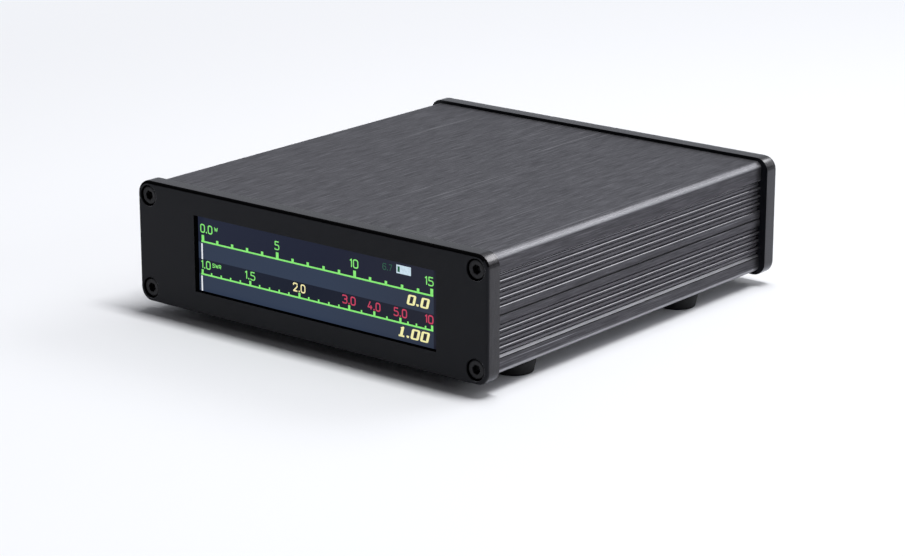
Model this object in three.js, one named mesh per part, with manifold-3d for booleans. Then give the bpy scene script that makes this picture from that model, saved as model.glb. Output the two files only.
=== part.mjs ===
// SWR meter: a split, ribbed aluminium case between two thick panels. A bar display looks out at
// the front, and two radio sockets, a rocker switch and a charging socket are at the rear.
// Sizes are millimetres. X runs to the right, the front faces -Y, Z is up, the feet stand on Z = 0.

import * as THREE from 'three';
import { mergeVertices } from 'three/addons/utils/BufferGeometryUtils.js';
import Module from 'manifold-3d';

const wasm = await Module();
wasm.setup();

// Overall sizes
const overallDepth = 150;
const socketReach = 10.3;
const footReveal = 3.5;

// Clearances and cutting allowance
const fitClearance = 0.3;
const slideClearance = 0.15;
const holeClearance = 0.2;
const threadClearance = 0.1;
const stackGap = 0.1;
const overrun = 1;

// Facets
const barrelSides = 32;
const roundSides = 24;
const screwSides = 16;
const smallSides = 12;
const cornerSteps = 6;

// Front and rear panels
const panelWidth = 130;
const panelHeight = 36.5;
const panelThickness = 5.1;
const panelCorner = 4;
const panelEdgeRound = 0.8;
const panelRoundSteps = 2;

// Case extrusion: two halves, each with a tongue on one edge and a rebate on the other
const caseSideInset = 2.2;
const caseTopInset = 1.05;
const caseCorner = 2.1;
const floorThickness = 1.6;
const sideThickness = 2.5;
const seamOffset = 0.3;
const seamGap = 0.2;
const tongueThickness = 1.1;
const tongueHeight = 1.4;

// Grooves along the case sides, with a low rib on each groove's floor
const grooveCount = 4;
const grooveWidthShare = 2 / 3;
const grooveFlat = 3.5;
const grooveDepth = 1;
const grooveFirst = 2.5;
const grooveRibWidth = 0.5;
const grooveRibHeight = 0.4;
const landBreak = 0.15;
const flatBreak = 0.6;

// Screw channels in the case corners
const channelSlot = 1.6;
const channelInnerWall = 1.65;
const channelTopWall = 0.85;

// Board slots in the case sides
const slotRibThickness = 1.1;
const slotRibReach = 2.2;

// Socket head screws of the panels
const screwInsetX = 4.25;
const screwInsetZ = 4.3;
const screwDiameter = 3;
const screwLength = 10;
const screwHeadDiameter = 5.5;
const screwHeadHeight = 3;
const screwHeadSink = 0.4;
const screwHeadBreak = 0.3;
const hexAcross = 2.5;
const hexDepth = 1.5;

// Feet and their screws
const footSideInset = 10.5;
const footFrontInset = 19.85;
const footRearInset = 30.9;
const footSoleRadius = 5.55;
const footTopRadius = 6.5;
const footEdgeRound = 0.5;
const footWellDepth = 2.2;
const footScrewLength = 4.5;
const footScrewHeadDiameter = 5.2;
const footScrewHeadHeight = 1.6;

// Window and display
const windowLeftMargin = 22.3;
const windowRightMargin = 17.8;
const windowTopMargin = 7.15;
const windowBottomMargin = 6.55;
const windowLip = 1.8;
const pocketBorder = 2.4;
const lcdCellThickness = 1.3;
const traySheet = 0.3;

// Display board, its screws and its ribbon
const displayBoardMarginX = 6.1;
const displayBoardMarginZ = 0.2;
const displayBoardThickness = 1.6;
const displayScrewMarginX = 3;
const displayScrewDropZ = 2.3;
const displayScrewDiameter = 2.5;
const displayScrewLength = 4.8;
const displayScrewHeadDiameter = 4.5;
const displayScrewHeadHeight = 1.7;
const displayScrewTipGap = 0.4;
const ribbonWidth = 14;
const ribbonThickness = 0.3;
const ribbonStartRise = 2.3;
const ribbonBend = 8;
const ribbonInsertion = 2.5;
const ribbonSteps = 16;

// Main board
const mainBoardThickness = 1.6;
const mainBoardFrontInset = 8;
const mainBoardRearInset = 9.6;
const boardTongueClearance = 3.3;
const boardTongueMargin = 5.6;

// Ribbon connector on the main board
const connectorMargin = 1.5;
const connectorDepth = 4;
const connectorHeight = 2.4;
const connectorInset = 6;

// Battery and its holder
const cellRadius = 9.2;
const cellLength = 65;
const cellNubRadius = 2.8;
const cellNubLength = 1;
const cellEdgeRound = 0.8;
const holderWall = 1.5;
const holderEndWall = 2;
const holderHeight = 12.5;
const holderFromFront = 45;

// Radio sockets
const socketInset = 27;
const flangeSize = 25.4;
const flangeThickness = 1.8;
const flangeCorner = 1.5;
const barrelRadius = 7.95;
const barrelBoreRadius = 6.2;
const barrelEdgeBreak = 0.5;
const socketRecess = 6;
const insulatorTail = 5;
const insulatorTailRadius = 5;
const contactRadius = 2.3;
const contactBoreRadius = 1.95;
const contactBoreDepth = 14;
const contactTail = 5.8;
const contactTailRadius = 1.9;
const solderCupRadius = 1.3;
const solderCupDepth = 3.5;
const contactSlot = 0.5;
const contactSlotDepth = 5;
const flangeScrewSpan = 18.2;
const flangeScrewDiameter = 3;
const flangeScrewLength = 9;
const panHeadDiameter = 5.6;
const panHeadHeight = 2;
const panHeadRoundShare = 0.45;
const panHeadSteps = 1;
const crossLength = 3;
const crossWidth = 0.7;
const crossDepth = 1.1;

// Coupler: through line and ring cores
const lineRadius = 1.1;
const lineReach = 12.7;
const lineBend = 4;
const lineSteps = 24;
const lineSides = 10;
const coreRadius = 6.35;
const coreBoreRadius = 3.55;
const coreThickness = 4.8;
const coreEdgeBreak = 0.6;
const coreSpanX = 24;
const coreDrop = 0.6;

// Rocker switch
const switchPlaceShare = 0.435;
const switchFlangeWidth = 10.5;
const switchFlangeHeight = 15;
const switchFlangeThickness = 2;
const switchFlangeCorner = 1;
const switchWall = 1;
const switchBodyDepth = 11;
const cavityWidth = 7;
const cavityHeight = 11.6;
const cavityDepth = 8;
const rockerReach = 5.5;
const rockerTopAngle = 35;
const rockerLowAngle = 25;
const rockerDip = 2.2;
const rockerTilt = 10;
const rockerNubWidth = 2.4;
const rockerNubTip = 1.6;
const rockerNubReach = 4.4;
const pivotDepth = 2.5;
const trunnionRadius = 0.9;
const trunnionReach = 0.65;
const terminalWidth = 2.8;
const terminalThickness = 0.5;
const terminalLength = 7.5;
const terminalSpan = 7;
const terminalSeat = 2.3;
const leadRadius = 0.7;
const leadForward = 4.5;
const leadSpread = 2.5;
const leadSteps = 12;
const leadSides = 8;

// Charging socket and its lamp
const chargePlaceShare = -0.24;
const chargeWidth = 8.94;
const chargeHeight = 3.26;
const chargeCorner = 1.2;
const chargeSheet = 0.3;
const chargeLength = 10.2;
const chargeSetback = 0.3;
const chargeTongueWidth = 6.7;
const chargeTongueThickness = 0.7;
const chargeTongueSetback = 0.6;
const lampPlaceShare = -0.74;
const lampRadius = 1.5;
const lampReveal = 0.6;
const lampLength = 7.3;

// Places worked out from the sizes
const centreZ = footReveal + panelHeight / 2;
const frontFace = -overallDepth / 2;
const socketEnd = overallDepth / 2;
const rearFace = socketEnd - socketReach;
const caseFront = frontFace + panelThickness;
const caseRear = rearFace - panelThickness;
const caseLength = caseRear - caseFront;
const halfCaseWidth = panelWidth / 2 - caseSideInset;
const halfCaseHeight = panelHeight / 2 - caseTopInset;
const insideX = halfCaseWidth - sideThickness;
const insideZ = halfCaseHeight - floorThickness;
const caseBottom = centreZ - halfCaseHeight;
const screwRadius = screwDiameter / 2;
const screwX = panelWidth / 2 - screwInsetX;
const screwZ = panelHeight / 2 - screwInsetZ;
const windowWidth = panelWidth - windowLeftMargin - windowRightMargin;
const windowHeight = panelHeight - windowTopMargin - windowBottomMargin;
const windowShiftX = (windowLeftMargin - windowRightMargin) / 2;
const windowShiftZ = (windowBottomMargin - windowTopMargin) / 2;
const windowZ = centreZ + windowShiftZ;
const pocketWidth = windowWidth + 2 * pocketBorder;
const pocketHeight = windowHeight + 2 * pocketBorder;
const groovePitch = (halfCaseHeight - caseCorner - grooveFlat - grooveFirst - seamOffset)
  / (grooveCount - 1 + grooveWidthShare);
const grooveWidth = grooveWidthShare * groovePitch;
const boardUnderside = -(coreDrop + coreRadius + mainBoardThickness);
const boardTop = centreZ + boardUnderside + mainBoardThickness;
const mainBoardRear = caseRear - mainBoardRearInset;
const socketOffset = panelWidth / 2 - socketInset;
const betweenFlanges = socketOffset - flangeSize / 2;
const switchX = switchPlaceShare * betweenFlanges;
const chargeX = chargePlaceShare * betweenFlanges;
const lampX = lampPlaceShare * betweenFlanges;
const boardTongueLeft = boardTongueClearance - betweenFlanges;
const boardTongueRight = chargeX + chargeWidth / 2 + boardTongueMargin;

// Colours and surface values
const finishes = {
  blackAnodised: { color: 0x222326, roughness: 0.45, metalness: 0.7 },
  brushedBlack: { color: 0x56565c, roughness: 0.35, metalness: 0.85 },
  blackSteel: { color: 0x17171a, roughness: 0.4, metalness: 0.8 },
  nickel: { color: 0xc9c7c0, roughness: 0.25, metalness: 1 },
  silver: { color: 0xd8d8d4, roughness: 0.3, metalness: 1 },
  brass: { color: 0xc7a456, roughness: 0.35, metalness: 1 },
  copper: { color: 0xb87a4f, roughness: 0.35, metalness: 1 },
  steel: { color: 0xb4b6b8, roughness: 0.35, metalness: 1 },
  rubber: { color: 0x17171a, roughness: 0.85, metalness: 0 },
  blackPlastic: { color: 0x1a1a1c, roughness: 0.5, metalness: 0 },
  insulator: { color: 0xeeece4, roughness: 0.5, metalness: 0 },
  screenGlass: { color: 0x242640, roughness: 0.12, metalness: 0 },
  lightGuide: { color: 0xe9edf2, roughness: 0.3, metalness: 0 },
  boardGreen: { color: 0x1d4a30, roughness: 0.5, metalness: 0 },
  ferrite: { color: 0x3a3a3d, roughness: 0.8, metalness: 0 },
  cellWrap: { color: 0x2c5fa8, roughness: 0.4, metalness: 0 },
  ribbonWhite: { color: 0xe6e4da, roughness: 0.5, metalness: 0 },
  lamp: { color: 0xd8ecd8, roughness: 0.2, metalness: 0 },
  redLead: { color: 0xa82222, roughness: 0.5, metalness: 0 },
};

// Solids: three.js shapes are joined and cut as closed meshes

function solidOf(geometry) {
  const bare = geometry.clone();
  bare.deleteAttribute('normal');
  bare.deleteAttribute('uv');
  const merged = mergeVertices(bare);
  const index = merged.index.array;
  const triangles = [];
  for (let i = 0; i < index.length; i += 3) {
    const [a, b, c] = [index[i], index[i + 1], index[i + 2]];
    if (a !== b && b !== c && c !== a) triangles.push(a, b, c);
  }
  return new wasm.Manifold(new wasm.Mesh({
    numProp: 3,
    vertProperties: new Float32Array(merged.attributes.position.array),
    triVerts: new Uint32Array(triangles),
  }));
}

function geometryOf(solid) {
  const mesh = solid.getMesh();
  const geometry = new THREE.BufferGeometry();
  geometry.setAttribute('position', new THREE.BufferAttribute(mesh.vertProperties, 3));
  geometry.setIndex(new THREE.BufferAttribute(mesh.triVerts, 1));
  geometry.computeVertexNormals();
  return geometry;
}

function cut(base, tools) {
  const solid = tools.reduce((left, tool) => left.subtract(solidOf(tool)), solidOf(base));
  return geometryOf(solid);
}

function join(base, others) {
  const solid = others.reduce((whole, other) => whole.add(solidOf(other)), solidOf(base));
  return geometryOf(solid);
}

// Basic forms

function box(sizeX, sizeY, sizeZ, x = 0, y = 0, z = 0) {
  return new THREE.BoxGeometry(sizeX, sizeY, sizeZ).translate(x, y, z);
}

// A round bar along Y from y to y + length
function barY(radius, length, x, y, z, sides = smallSides) {
  return new THREE.CylinderGeometry(radius, radius, length, sides).translate(x, y + length / 2, z);
}

// A round bar along X, centred on the given point
function barX(radius, length, x, y, z, sides = smallSides) {
  return new THREE.CylinderGeometry(radius, radius, length, sides)
    .rotateZ(Math.PI / 2)
    .translate(x, y, z);
}

// A round bar along Z, centred on the given point
function barZ(radius, length, x, y, z, sides = smallSides) {
  return new THREE.CylinderGeometry(radius, radius, length, sides)
    .rotateX(Math.PI / 2)
    .translate(x, y, z);
}

function rectangle(width, height) {
  return new THREE.Shape([
    new THREE.Vector2(-width / 2, -height / 2),
    new THREE.Vector2(width / 2, -height / 2),
    new THREE.Vector2(width / 2, height / 2),
    new THREE.Vector2(-width / 2, height / 2),
  ]);
}

function roundedRectangle(width, height, radius) {
  const right = width / 2 - radius;
  const top = height / 2 - radius;
  const outline = new THREE.Shape();
  outline.absarc(right, -top, radius, -Math.PI / 2, 0);
  outline.absarc(right, top, radius, 0, Math.PI / 2);
  outline.absarc(-right, top, radius, Math.PI / 2, Math.PI);
  outline.absarc(-right, -top, radius, Math.PI, 1.5 * Math.PI);
  return outline;
}

// An outline drawn in X and Z, carried along Y from y = 0 to y = length. An arc in an outline gets
// two facets for each of three.js's curve segments.
function alongY(outline, length) {
  const options = { depth: length, bevelEnabled: false, curveSegments: cornerSteps / 2 };
  return new THREE.ExtrudeGeometry(outline, options)
    .rotateX(Math.PI / 2)
    .translate(0, length, 0);
}

// A profile of [radius, height] pairs, turned about Y
function turned(profile, sides = roundSides) {
  const points = profile.map(([radius, height]) => new THREE.Vector2(radius, height));
  return geometryOf(solidOf(new THREE.LatheGeometry(points, sides)));
}

// A round wire along a curve
function wire(curve, radius, steps, sides) {
  const section = new THREE.Shape();
  section.absarc(0, 0, radius, 0, 2 * Math.PI);
  const options = { steps, extrudePath: curve, curveSegments: sides / 2 };
  return geometryOf(solidOf(new THREE.ExtrudeGeometry(section, options)));
}

function arc(centreX, centreY, radius, from, to, steps) {
  return Array.from({ length: steps + 1 }, (_, i) => {
    const angle = from + (to - from) * i / steps;
    return [centreX + radius * Math.cos(angle), centreY + radius * Math.sin(angle)];
  });
}

const meter = new THREE.Group();

function add(name, geometry, finish, x = 0, y = 0, z = 0) {
  const mesh = new THREE.Mesh(geometry, new THREE.MeshStandardMaterial(finishes[finish]));
  mesh.name = name;
  mesh.position.set(x, y, z);
  meter.add(mesh);
  return mesh;
}

// The right side of a lower half, from the bottom corner up to the seam. Its grooves and the seam
// are centred a little off the middle, towards the side whose edge carries the tongue.
function sideOutside(middle) {
  const points = arc(halfCaseWidth - caseCorner, caseCorner - halfCaseHeight, caseCorner,
    -Math.PI / 2, 0, cornerSteps);
  const floor = halfCaseWidth - grooveDepth;
  const rib = floor + grooveRibHeight;
  for (let k = grooveCount - 1; k >= 0; k -= 1) {
    const high = middle - grooveFirst - k * groovePitch;
    const low = high - grooveWidth;
    const centre = (high + low) / 2;
    const lowBreak = k === grooveCount - 1 ? flatBreak : landBreak;
    points.push(
      [halfCaseWidth, low - lowBreak], [halfCaseWidth - lowBreak, low], [floor, low],
      [floor, centre - grooveRibWidth / 2], [rib, centre - grooveRibWidth / 2],
      [rib, centre + grooveRibWidth / 2], [floor, centre + grooveRibWidth / 2],
      [floor, high], [halfCaseWidth - landBreak, high], [halfCaseWidth, high + landBreak],
    );
  }
  const seam = middle - seamGap / 2;
  points.push([halfCaseWidth, seam - landBreak], [halfCaseWidth - landBreak, seam]);
  return points;
}

// The inside of that wall, from the seam down to the floor: board slot, then open screw channel
function sideInside() {
  const slotLow = boardUnderside - slideClearance;
  const slotHigh = boardUnderside + mainBoardThickness + slideClearance;
  const ribEdge = insideX - slotRibReach;
  const boreX = screwX;
  const boreZ = -screwZ;
  const bore = screwRadius + threadClearance;
  const bossX = boreX - bore - channelInnerWall;
  const bossTop = boreZ + bore + channelTopWall;
  const mouth = Math.asin(channelSlot / 2 / bore);
  return [
    [insideX, slotHigh + slotRibThickness], [ribEdge, slotHigh + slotRibThickness],
    [ribEdge, slotHigh], [insideX, slotHigh],
    [insideX, slotLow], [ribEdge, slotLow],
    [ribEdge, slotLow - slotRibThickness], [insideX, slotLow - slotRibThickness],
    [insideX, bossTop], [bossX, bossTop],
    [bossX, boreZ + channelSlot / 2],
    ...arc(boreX, boreZ, bore, Math.PI - mouth, mouth - Math.PI, 3 * cornerSteps),
    [bossX, boreZ - channelSlot / 2],
    [bossX, -insideZ],
  ];
}

function halfCase() {
  const tongueX = insideX + tongueThickness;
  const rebateX = tongueX + slideClearance;
  const rebateZ = -tongueHeight - slideClearance;
  const right = [
    ...sideOutside(-seamOffset),
    [tongueX, -seamOffset - seamGap / 2], [tongueX, tongueHeight], [insideX, tongueHeight],
    ...sideInside(),
  ];
  const left = [
    ...sideOutside(seamOffset),
    [rebateX, seamOffset - seamGap / 2], [rebateX, rebateZ], [insideX, rebateZ],
    ...sideInside(),
  ];
  const outline = [...right, ...left.reverse().map(([x, z]) => [-x, z])];
  const shape = new THREE.Shape(outline.map(([x, z]) => new THREE.Vector2(x, z)));
  return alongY(shape, caseLength);
}

const footX = panelWidth / 2 - footSideInset;
const footPlaces = [
  ['foot_front_left', -footX, caseFront + footFrontInset],
  ['foot_front_right', footX, caseFront + footFrontInset],
  ['foot_rear_left', -footX, caseRear - footRearInset],
  ['foot_rear_right', footX, caseRear - footRearInset],
];

const footScrewHole = screwRadius + threadClearance;
const lowerHoles = footPlaces.map(([, x, y]) => barZ(
  footScrewHole, floorThickness + 2 * overrun, x, y - caseFront, -halfCaseHeight + floorThickness / 2));
add('lower_shell', cut(halfCase(), lowerHoles), 'brushedBlack', 0, caseFront, centreZ);
const upperShell = geometryOf(solidOf(halfCase().rotateY(Math.PI)));
add('upper_shell', upperShell, 'brushedBlack', 0, caseFront, centreZ);

// Panels: a plate with its face at y = 0 and a rounded edge round that face
const counterboreDepth = screwHeadHeight + screwHeadSink;
const counterboreRadius = screwHeadDiameter / 2 + fitClearance;
const screwPlaces = [
  ['top_left', -1, 1], ['top_right', 1, 1], ['bottom_left', -1, -1], ['bottom_right', 1, -1],
].map(([name, sideX, sideZ]) => [name, sideX * screwX, sideZ * screwZ]);

function panelPlate() {
  const options = {
    depth: panelThickness,
    bevelThickness: panelEdgeRound,
    bevelSize: panelEdgeRound,
    bevelOffset: -panelEdgeRound,
    bevelSegments: panelRoundSteps,
    curveSegments: cornerSteps / 2,
  };
  const outline = roundedRectangle(panelWidth, panelHeight, panelCorner);
  const plate = new THREE.ExtrudeGeometry(outline, options)
    .rotateX(Math.PI / 2)
    .translate(0, panelThickness + panelEdgeRound, 0);
  const spare = 2 * panelEdgeRound + overrun;
  const trim = box(panelWidth + 2 * overrun, spare, panelHeight + 2 * overrun,
    0, panelThickness + spare / 2, 0);
  const holes = screwPlaces.flatMap(([, x, z]) => [
    barY(counterboreRadius, counterboreDepth + overrun, x, -overrun, z, roundSides),
    barY(screwRadius + holeClearance, panelThickness + 2 * overrun, x, -overrun, z),
  ]);
  return cut(plate, [trim, ...holes]);
}

const displayScrewX = pocketWidth / 2 + displayScrewMarginX;
const displayScrewZ = pocketHeight / 2 - displayScrewDropZ;
const displayScrewHole = displayScrewDiameter / 2 + threadClearance;
const displayScrewPlaces = [
  ['top_left', -1, 1], ['top_right', 1, 1], ['bottom_left', -1, -1], ['bottom_right', 1, -1],
].map(([name, sideX, sideZ]) => [
  name, windowShiftX + sideX * displayScrewX, windowShiftZ + sideZ * displayScrewZ,
]);
const displayHoleDepth = displayScrewLength - displayBoardThickness + displayScrewTipGap;

const frontCuts = [
  box(windowWidth, panelThickness + 2 * overrun, windowHeight,
    windowShiftX, panelThickness / 2, windowShiftZ),
  box(pocketWidth, panelThickness - windowLip + overrun, pocketHeight,
    windowShiftX, (windowLip + panelThickness + overrun) / 2, windowShiftZ),
  ...displayScrewPlaces.map(([, x, z]) => barY(
    displayScrewHole, displayHoleDepth + overrun, x, panelThickness - displayHoleDepth, z)),
];
add('front_panel', cut(panelPlate(), frontCuts), 'blackAnodised', 0, frontFace, centreZ);

// Rear panel: barrel holes, flange screw holes, switch cut-out, charging slot and lamp hole
const socketPlaces = [['radio', -socketOffset], ['antenna', socketOffset]];
const flangeScrewPlaces = [
  ['top_left', -1, 1], ['top_right', 1, 1], ['bottom_left', -1, -1], ['bottom_right', 1, -1],
].map(([name, sideX, sideZ]) => [name, sideX * flangeScrewSpan / 2, sideZ * flangeScrewSpan / 2]);
const chargeZ = boardTop + chargeHeight / 2;
const switchBodyWidth = cavityWidth + 2 * switchWall;
const switchBodyHeight = cavityHeight + 2 * switchWall;
const through = panelThickness + 2 * overrun;
const throughY = -panelThickness - overrun;
const flangeScrewHole = flangeScrewDiameter / 2 + threadClearance;

function chargeOutline(margin) {
  return roundedRectangle(
    chargeWidth + 2 * margin, chargeHeight + 2 * margin, chargeCorner + margin);
}

const rearCuts = [
  ...socketPlaces.flatMap(([, socketX]) => [
    barY(barrelRadius + fitClearance, through, socketX, throughY, 0, barrelSides),
    ...flangeScrewPlaces.map(([, x, z]) => barY(
      flangeScrewHole, through, socketX + x, throughY, z)),
  ]),
  box(switchBodyWidth + 2 * slideClearance, 2 * through, switchBodyHeight + 2 * slideClearance,
    switchX, 0, 0),
  alongY(chargeOutline(fitClearance), through).translate(chargeX, throughY, chargeZ - centreZ),
  barY(lampRadius + fitClearance, through, lampX, throughY, chargeZ - centreZ, screwSides),
];
const rearPlate = geometryOf(solidOf(panelPlate().rotateZ(Math.PI)));
add('rear_panel', cut(rearPlate, rearCuts), 'blackAnodised', 0, rearFace, centreZ);

// A cap screw along +Y whose head starts at y = 0, with a six-sided socket
function socketHeadScrew() {
  const head = screwHeadDiameter / 2;
  const tip = screwHeadHeight + screwLength;
  const body = turned([
    [0, 0], [head - screwHeadBreak, 0], [head, screwHeadBreak], [head, screwHeadHeight],
    [screwRadius, screwHeadHeight], [screwRadius, tip - screwHeadBreak],
    [screwRadius - screwHeadBreak, tip], [0, tip],
  ], screwSides);
  const socket = barY(hexAcross / Math.sqrt(3), hexDepth + overrun, 0, -overrun, 0, 6);
  return cut(body, [socket]);
}

// A screw along +Y with a rounded head that stands from y = -height to y = 0, and a cross recess
function panHeadScrew(radius, length, headRadius, headHeight) {
  const crown = panHeadRoundShare * headHeight;
  const body = turned([
    [0, -headHeight], [headRadius - crown, -headHeight],
    ...arc(headRadius - crown, crown - headHeight, crown, -Math.PI / 2, 0, panHeadSteps).slice(1),
    [headRadius, 0], [radius, 0], [radius, length], [0, length],
  ], smallSides);
  const depth = crossDepth + overrun;
  const y = crossDepth - headHeight - depth / 2;
  return cut(body, [box(crossLength, depth, crossWidth, 0, y, 0),
    box(crossWidth, depth, crossLength, 0, y, 0)]);
}

for (const [place, x, z] of screwPlaces) {
  add(`front_screw_${place}`, socketHeadScrew(), 'blackSteel', x, frontFace + screwHeadSink, centreZ + z);
  const rear = add(`rear_screw_${place}`, socketHeadScrew(), 'blackSteel',
    x, rearFace - screwHeadSink, centreZ + z);
  rear.rotation.z = Math.PI;
}

// Feet: tapered rings with a well for the screw head
const footHeight = caseBottom;
const wellRadius = footScrewHeadDiameter / 2 + fitClearance;
const footBore = screwRadius + holeClearance;

function foot() {
  return turned([
    [wellRadius, 0], ...arc(footSoleRadius - footEdgeRound, footEdgeRound, footEdgeRound,
      -Math.PI / 2, 0, 2),
    [footTopRadius, footHeight], [footBore, footHeight], [footBore, footWellDepth],
    [wellRadius, footWellDepth], [wellRadius, 0],
  ]).rotateX(Math.PI / 2);
}

for (const [name, x, y] of footPlaces) {
  add(name, foot(), 'rubber', x, y, 0);
  const screw = add(`${name}_screw`,
    panHeadScrew(screwRadius, footScrewLength, footScrewHeadDiameter / 2, footScrewHeadHeight),
    'blackSteel', x, y, footWellDepth);
  screw.rotation.x = Math.PI / 2;
}

// Display: the cell behind the window's lip, then the light guide in its steel tray
const lcdWidth = pocketWidth - 2 * fitClearance;
const lcdHeight = pocketHeight - 2 * fitClearance;
const cellFront = frontFace + windowLip + stackGap;
const trayFront = cellFront + lcdCellThickness + stackGap;
const trayDepth = caseFront - stackGap - trayFront;
const guideThickness = trayDepth - traySheet - stackGap;

add('lcd_cell', box(lcdWidth, lcdCellThickness, lcdHeight), 'screenGlass',
  windowShiftX, cellFront + lcdCellThickness / 2, windowZ);
const tray = cut(box(lcdWidth, trayDepth, lcdHeight), [
  box(lcdWidth - 2 * traySheet, trayDepth, lcdHeight - 2 * traySheet, 0, -traySheet, 0)]);
add('lcd_tray', tray, 'steel', windowShiftX, trayFront + trayDepth / 2, windowZ);
const guideMargin = 2 * (traySheet + stackGap);
add('lcd_backlight', box(lcdWidth - guideMargin, guideThickness, lcdHeight - guideMargin),
  'lightGuide', windowShiftX, trayFront + guideThickness / 2, windowZ);

// Display board, flat against the back of the front panel
const displayBoardBack = caseFront + displayBoardThickness;
const displayBoard = cut(
  box(pocketWidth + 2 * displayBoardMarginX, displayBoardThickness,
    pocketHeight + 2 * displayBoardMarginZ),
  displayScrewPlaces.map(([, x, z]) => barY(
    displayScrewDiameter / 2 + holeClearance, displayBoardThickness + 2 * overrun,
    x - windowShiftX, -displayBoardThickness / 2 - overrun, z - windowShiftZ)));
add('display_board', displayBoard, 'boardGreen',
  windowShiftX, caseFront + displayBoardThickness / 2, windowZ);
for (const [place, x, z] of displayScrewPlaces) {
  const screw = add(`display_screw_${place}`,
    panHeadScrew(displayScrewDiameter / 2, displayScrewLength, displayScrewHeadDiameter / 2,
      displayScrewHeadHeight),
    'steel', x, displayBoardBack, centreZ + z);
  screw.rotation.z = Math.PI;
}

// Main board: slides in the lower shell's slots, with a tongue between the socket flanges
const mainBoardFront = caseFront + mainBoardFrontInset;
const mainBoardHalf = insideX - fitClearance;
const tongueRear = caseRear - fitClearance;
const mainBoardOutline = new THREE.Shape([
  [-mainBoardHalf, mainBoardFront], [mainBoardHalf, mainBoardFront],
  [mainBoardHalf, mainBoardRear], [boardTongueRight, mainBoardRear],
  [boardTongueRight, tongueRear], [boardTongueLeft, tongueRear],
  [boardTongueLeft, mainBoardRear], [-mainBoardHalf, mainBoardRear],
].map(([x, y]) => new THREE.Vector2(x, y)));
const mainBoard = new THREE.ExtrudeGeometry(mainBoardOutline, {
  depth: mainBoardThickness, bevelEnabled: false });
add('main_board', geometryOf(solidOf(mainBoard)), 'boardGreen', 0, 0, boardTop - mainBoardThickness);

// Ribbon from the display board down to its connector
const connectorY = mainBoardFront + connectorInset;
const connectorWidth = ribbonWidth + 2 * connectorMargin;
const ribbonEndZ = boardTop + connectorHeight / 2;
const ribbonMouth = box(ribbonWidth + 2 * slideClearance, ribbonInsertion + slideClearance + overrun,
  ribbonThickness + 2 * slideClearance,
  0, (ribbonInsertion + slideClearance - overrun - connectorDepth) / 2, 0);
add('ribbon_connector',
  cut(box(connectorWidth, connectorDepth, connectorHeight), [ribbonMouth]), 'insulator',
  windowShiftX, connectorY + connectorDepth / 2, boardTop + connectorHeight / 2);

const ribbonStart = new THREE.Vector3(0, displayBoardBack + fitClearance, windowZ + ribbonStartRise);
const ribbonEntry = new THREE.Vector3(0, connectorY - fitClearance, ribbonEndZ);
const ribbonEnd = new THREE.Vector3(0, connectorY + ribbonInsertion, ribbonEndZ);
const ribbonCurve = new THREE.CurvePath();
ribbonCurve.add(new THREE.CubicBezierCurve3(
  ribbonStart,
  ribbonStart.clone().add(new THREE.Vector3(0, ribbonBend, 0)),
  ribbonEntry.clone().add(new THREE.Vector3(0, -ribbonBend, 0)),
  ribbonEntry));
ribbonCurve.add(new THREE.LineCurve3(ribbonEntry, ribbonEnd));
const ribbon = new THREE.ExtrudeGeometry(rectangle(ribbonWidth, ribbonThickness),
  { steps: ribbonSteps, extrudePath: ribbonCurve });
add('display_ribbon', geometryOf(solidOf(ribbon)), 'ribbonWhite', windowShiftX, 0, 0);

// Battery cell along X in its open holder
const holderBore = cellRadius + fitClearance;
const holderBoreLength = cellLength + cellNubLength + 2 * fitClearance;
const holderY = frontFace + holderFromFront;
const cellZ = boardTop + holderWall + holderBore;
const holder = cut(
  box(holderBoreLength + 2 * holderEndWall, 2 * (holderBore + holderWall), holderHeight),
  [barX(holderBore, holderBoreLength, 0, 0, cellZ - boardTop - holderHeight / 2, screwSides)]);
add('battery_holder', holder, 'blackPlastic', 0, holderY, boardTop + holderHeight / 2);
const cell = turned([
  [0, 0], [cellRadius - cellEdgeRound, 0], [cellRadius, cellEdgeRound],
  [cellRadius, cellLength - cellEdgeRound], [cellRadius - cellEdgeRound, cellLength],
  [cellNubRadius, cellLength], [cellNubRadius, cellLength + cellNubLength],
  [0, cellLength + cellNubLength],
], screwSides).rotateZ(-Math.PI / 2);
add('battery_cell', cell, 'cellWrap', -(cellLength + cellNubLength) / 2, holderY, cellZ);

// Radio sockets: the flange lies behind the rear panel and the barrel passes through it
function socketShell() {
  const flange = alongY(roundedRectangle(flangeSize, flangeSize, flangeCorner), flangeThickness)
    .translate(0, caseRear - flangeThickness, 0);
  const barrelLength = socketEnd - caseRear;
  const barrel = turned([
    [0, -flangeThickness / 2], [barrelRadius, -flangeThickness / 2],
    [barrelRadius, barrelLength - barrelEdgeBreak], [barrelRadius - barrelEdgeBreak, barrelLength],
    [0, barrelLength],
  ], barrelSides).translate(0, caseRear, 0);
  const bores = [
    barY(barrelBoreRadius, barrelLength + overrun, 0, caseRear, 0, roundSides),
    barY(insulatorTailRadius + slideClearance, flangeThickness + 2 * overrun,
      0, caseRear - flangeThickness - overrun, 0, roundSides),
    ...flangeScrewPlaces.map(([, x, z]) => barY(
      flangeScrewHole, flangeThickness + 2 * overrun, x, caseRear - flangeThickness - overrun, z)),
  ];
  return cut(join(flange, [barrel]), bores);
}

const insulatorFace = socketEnd - socketRecess;
const insulatorStep = caseRear + slideClearance;
const insulatorBack = caseRear - flangeThickness - insulatorTail;

function insulator() {
  const radius = barrelBoreRadius - slideClearance;
  const bore = contactRadius + slideClearance;
  return turned([
    [bore, insulatorBack], [insulatorTailRadius, insulatorBack],
    [insulatorTailRadius, insulatorStep], [radius, insulatorStep],
    [radius, insulatorFace], [bore, insulatorFace], [bore, insulatorBack],
  ], screwSides);
}

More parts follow.
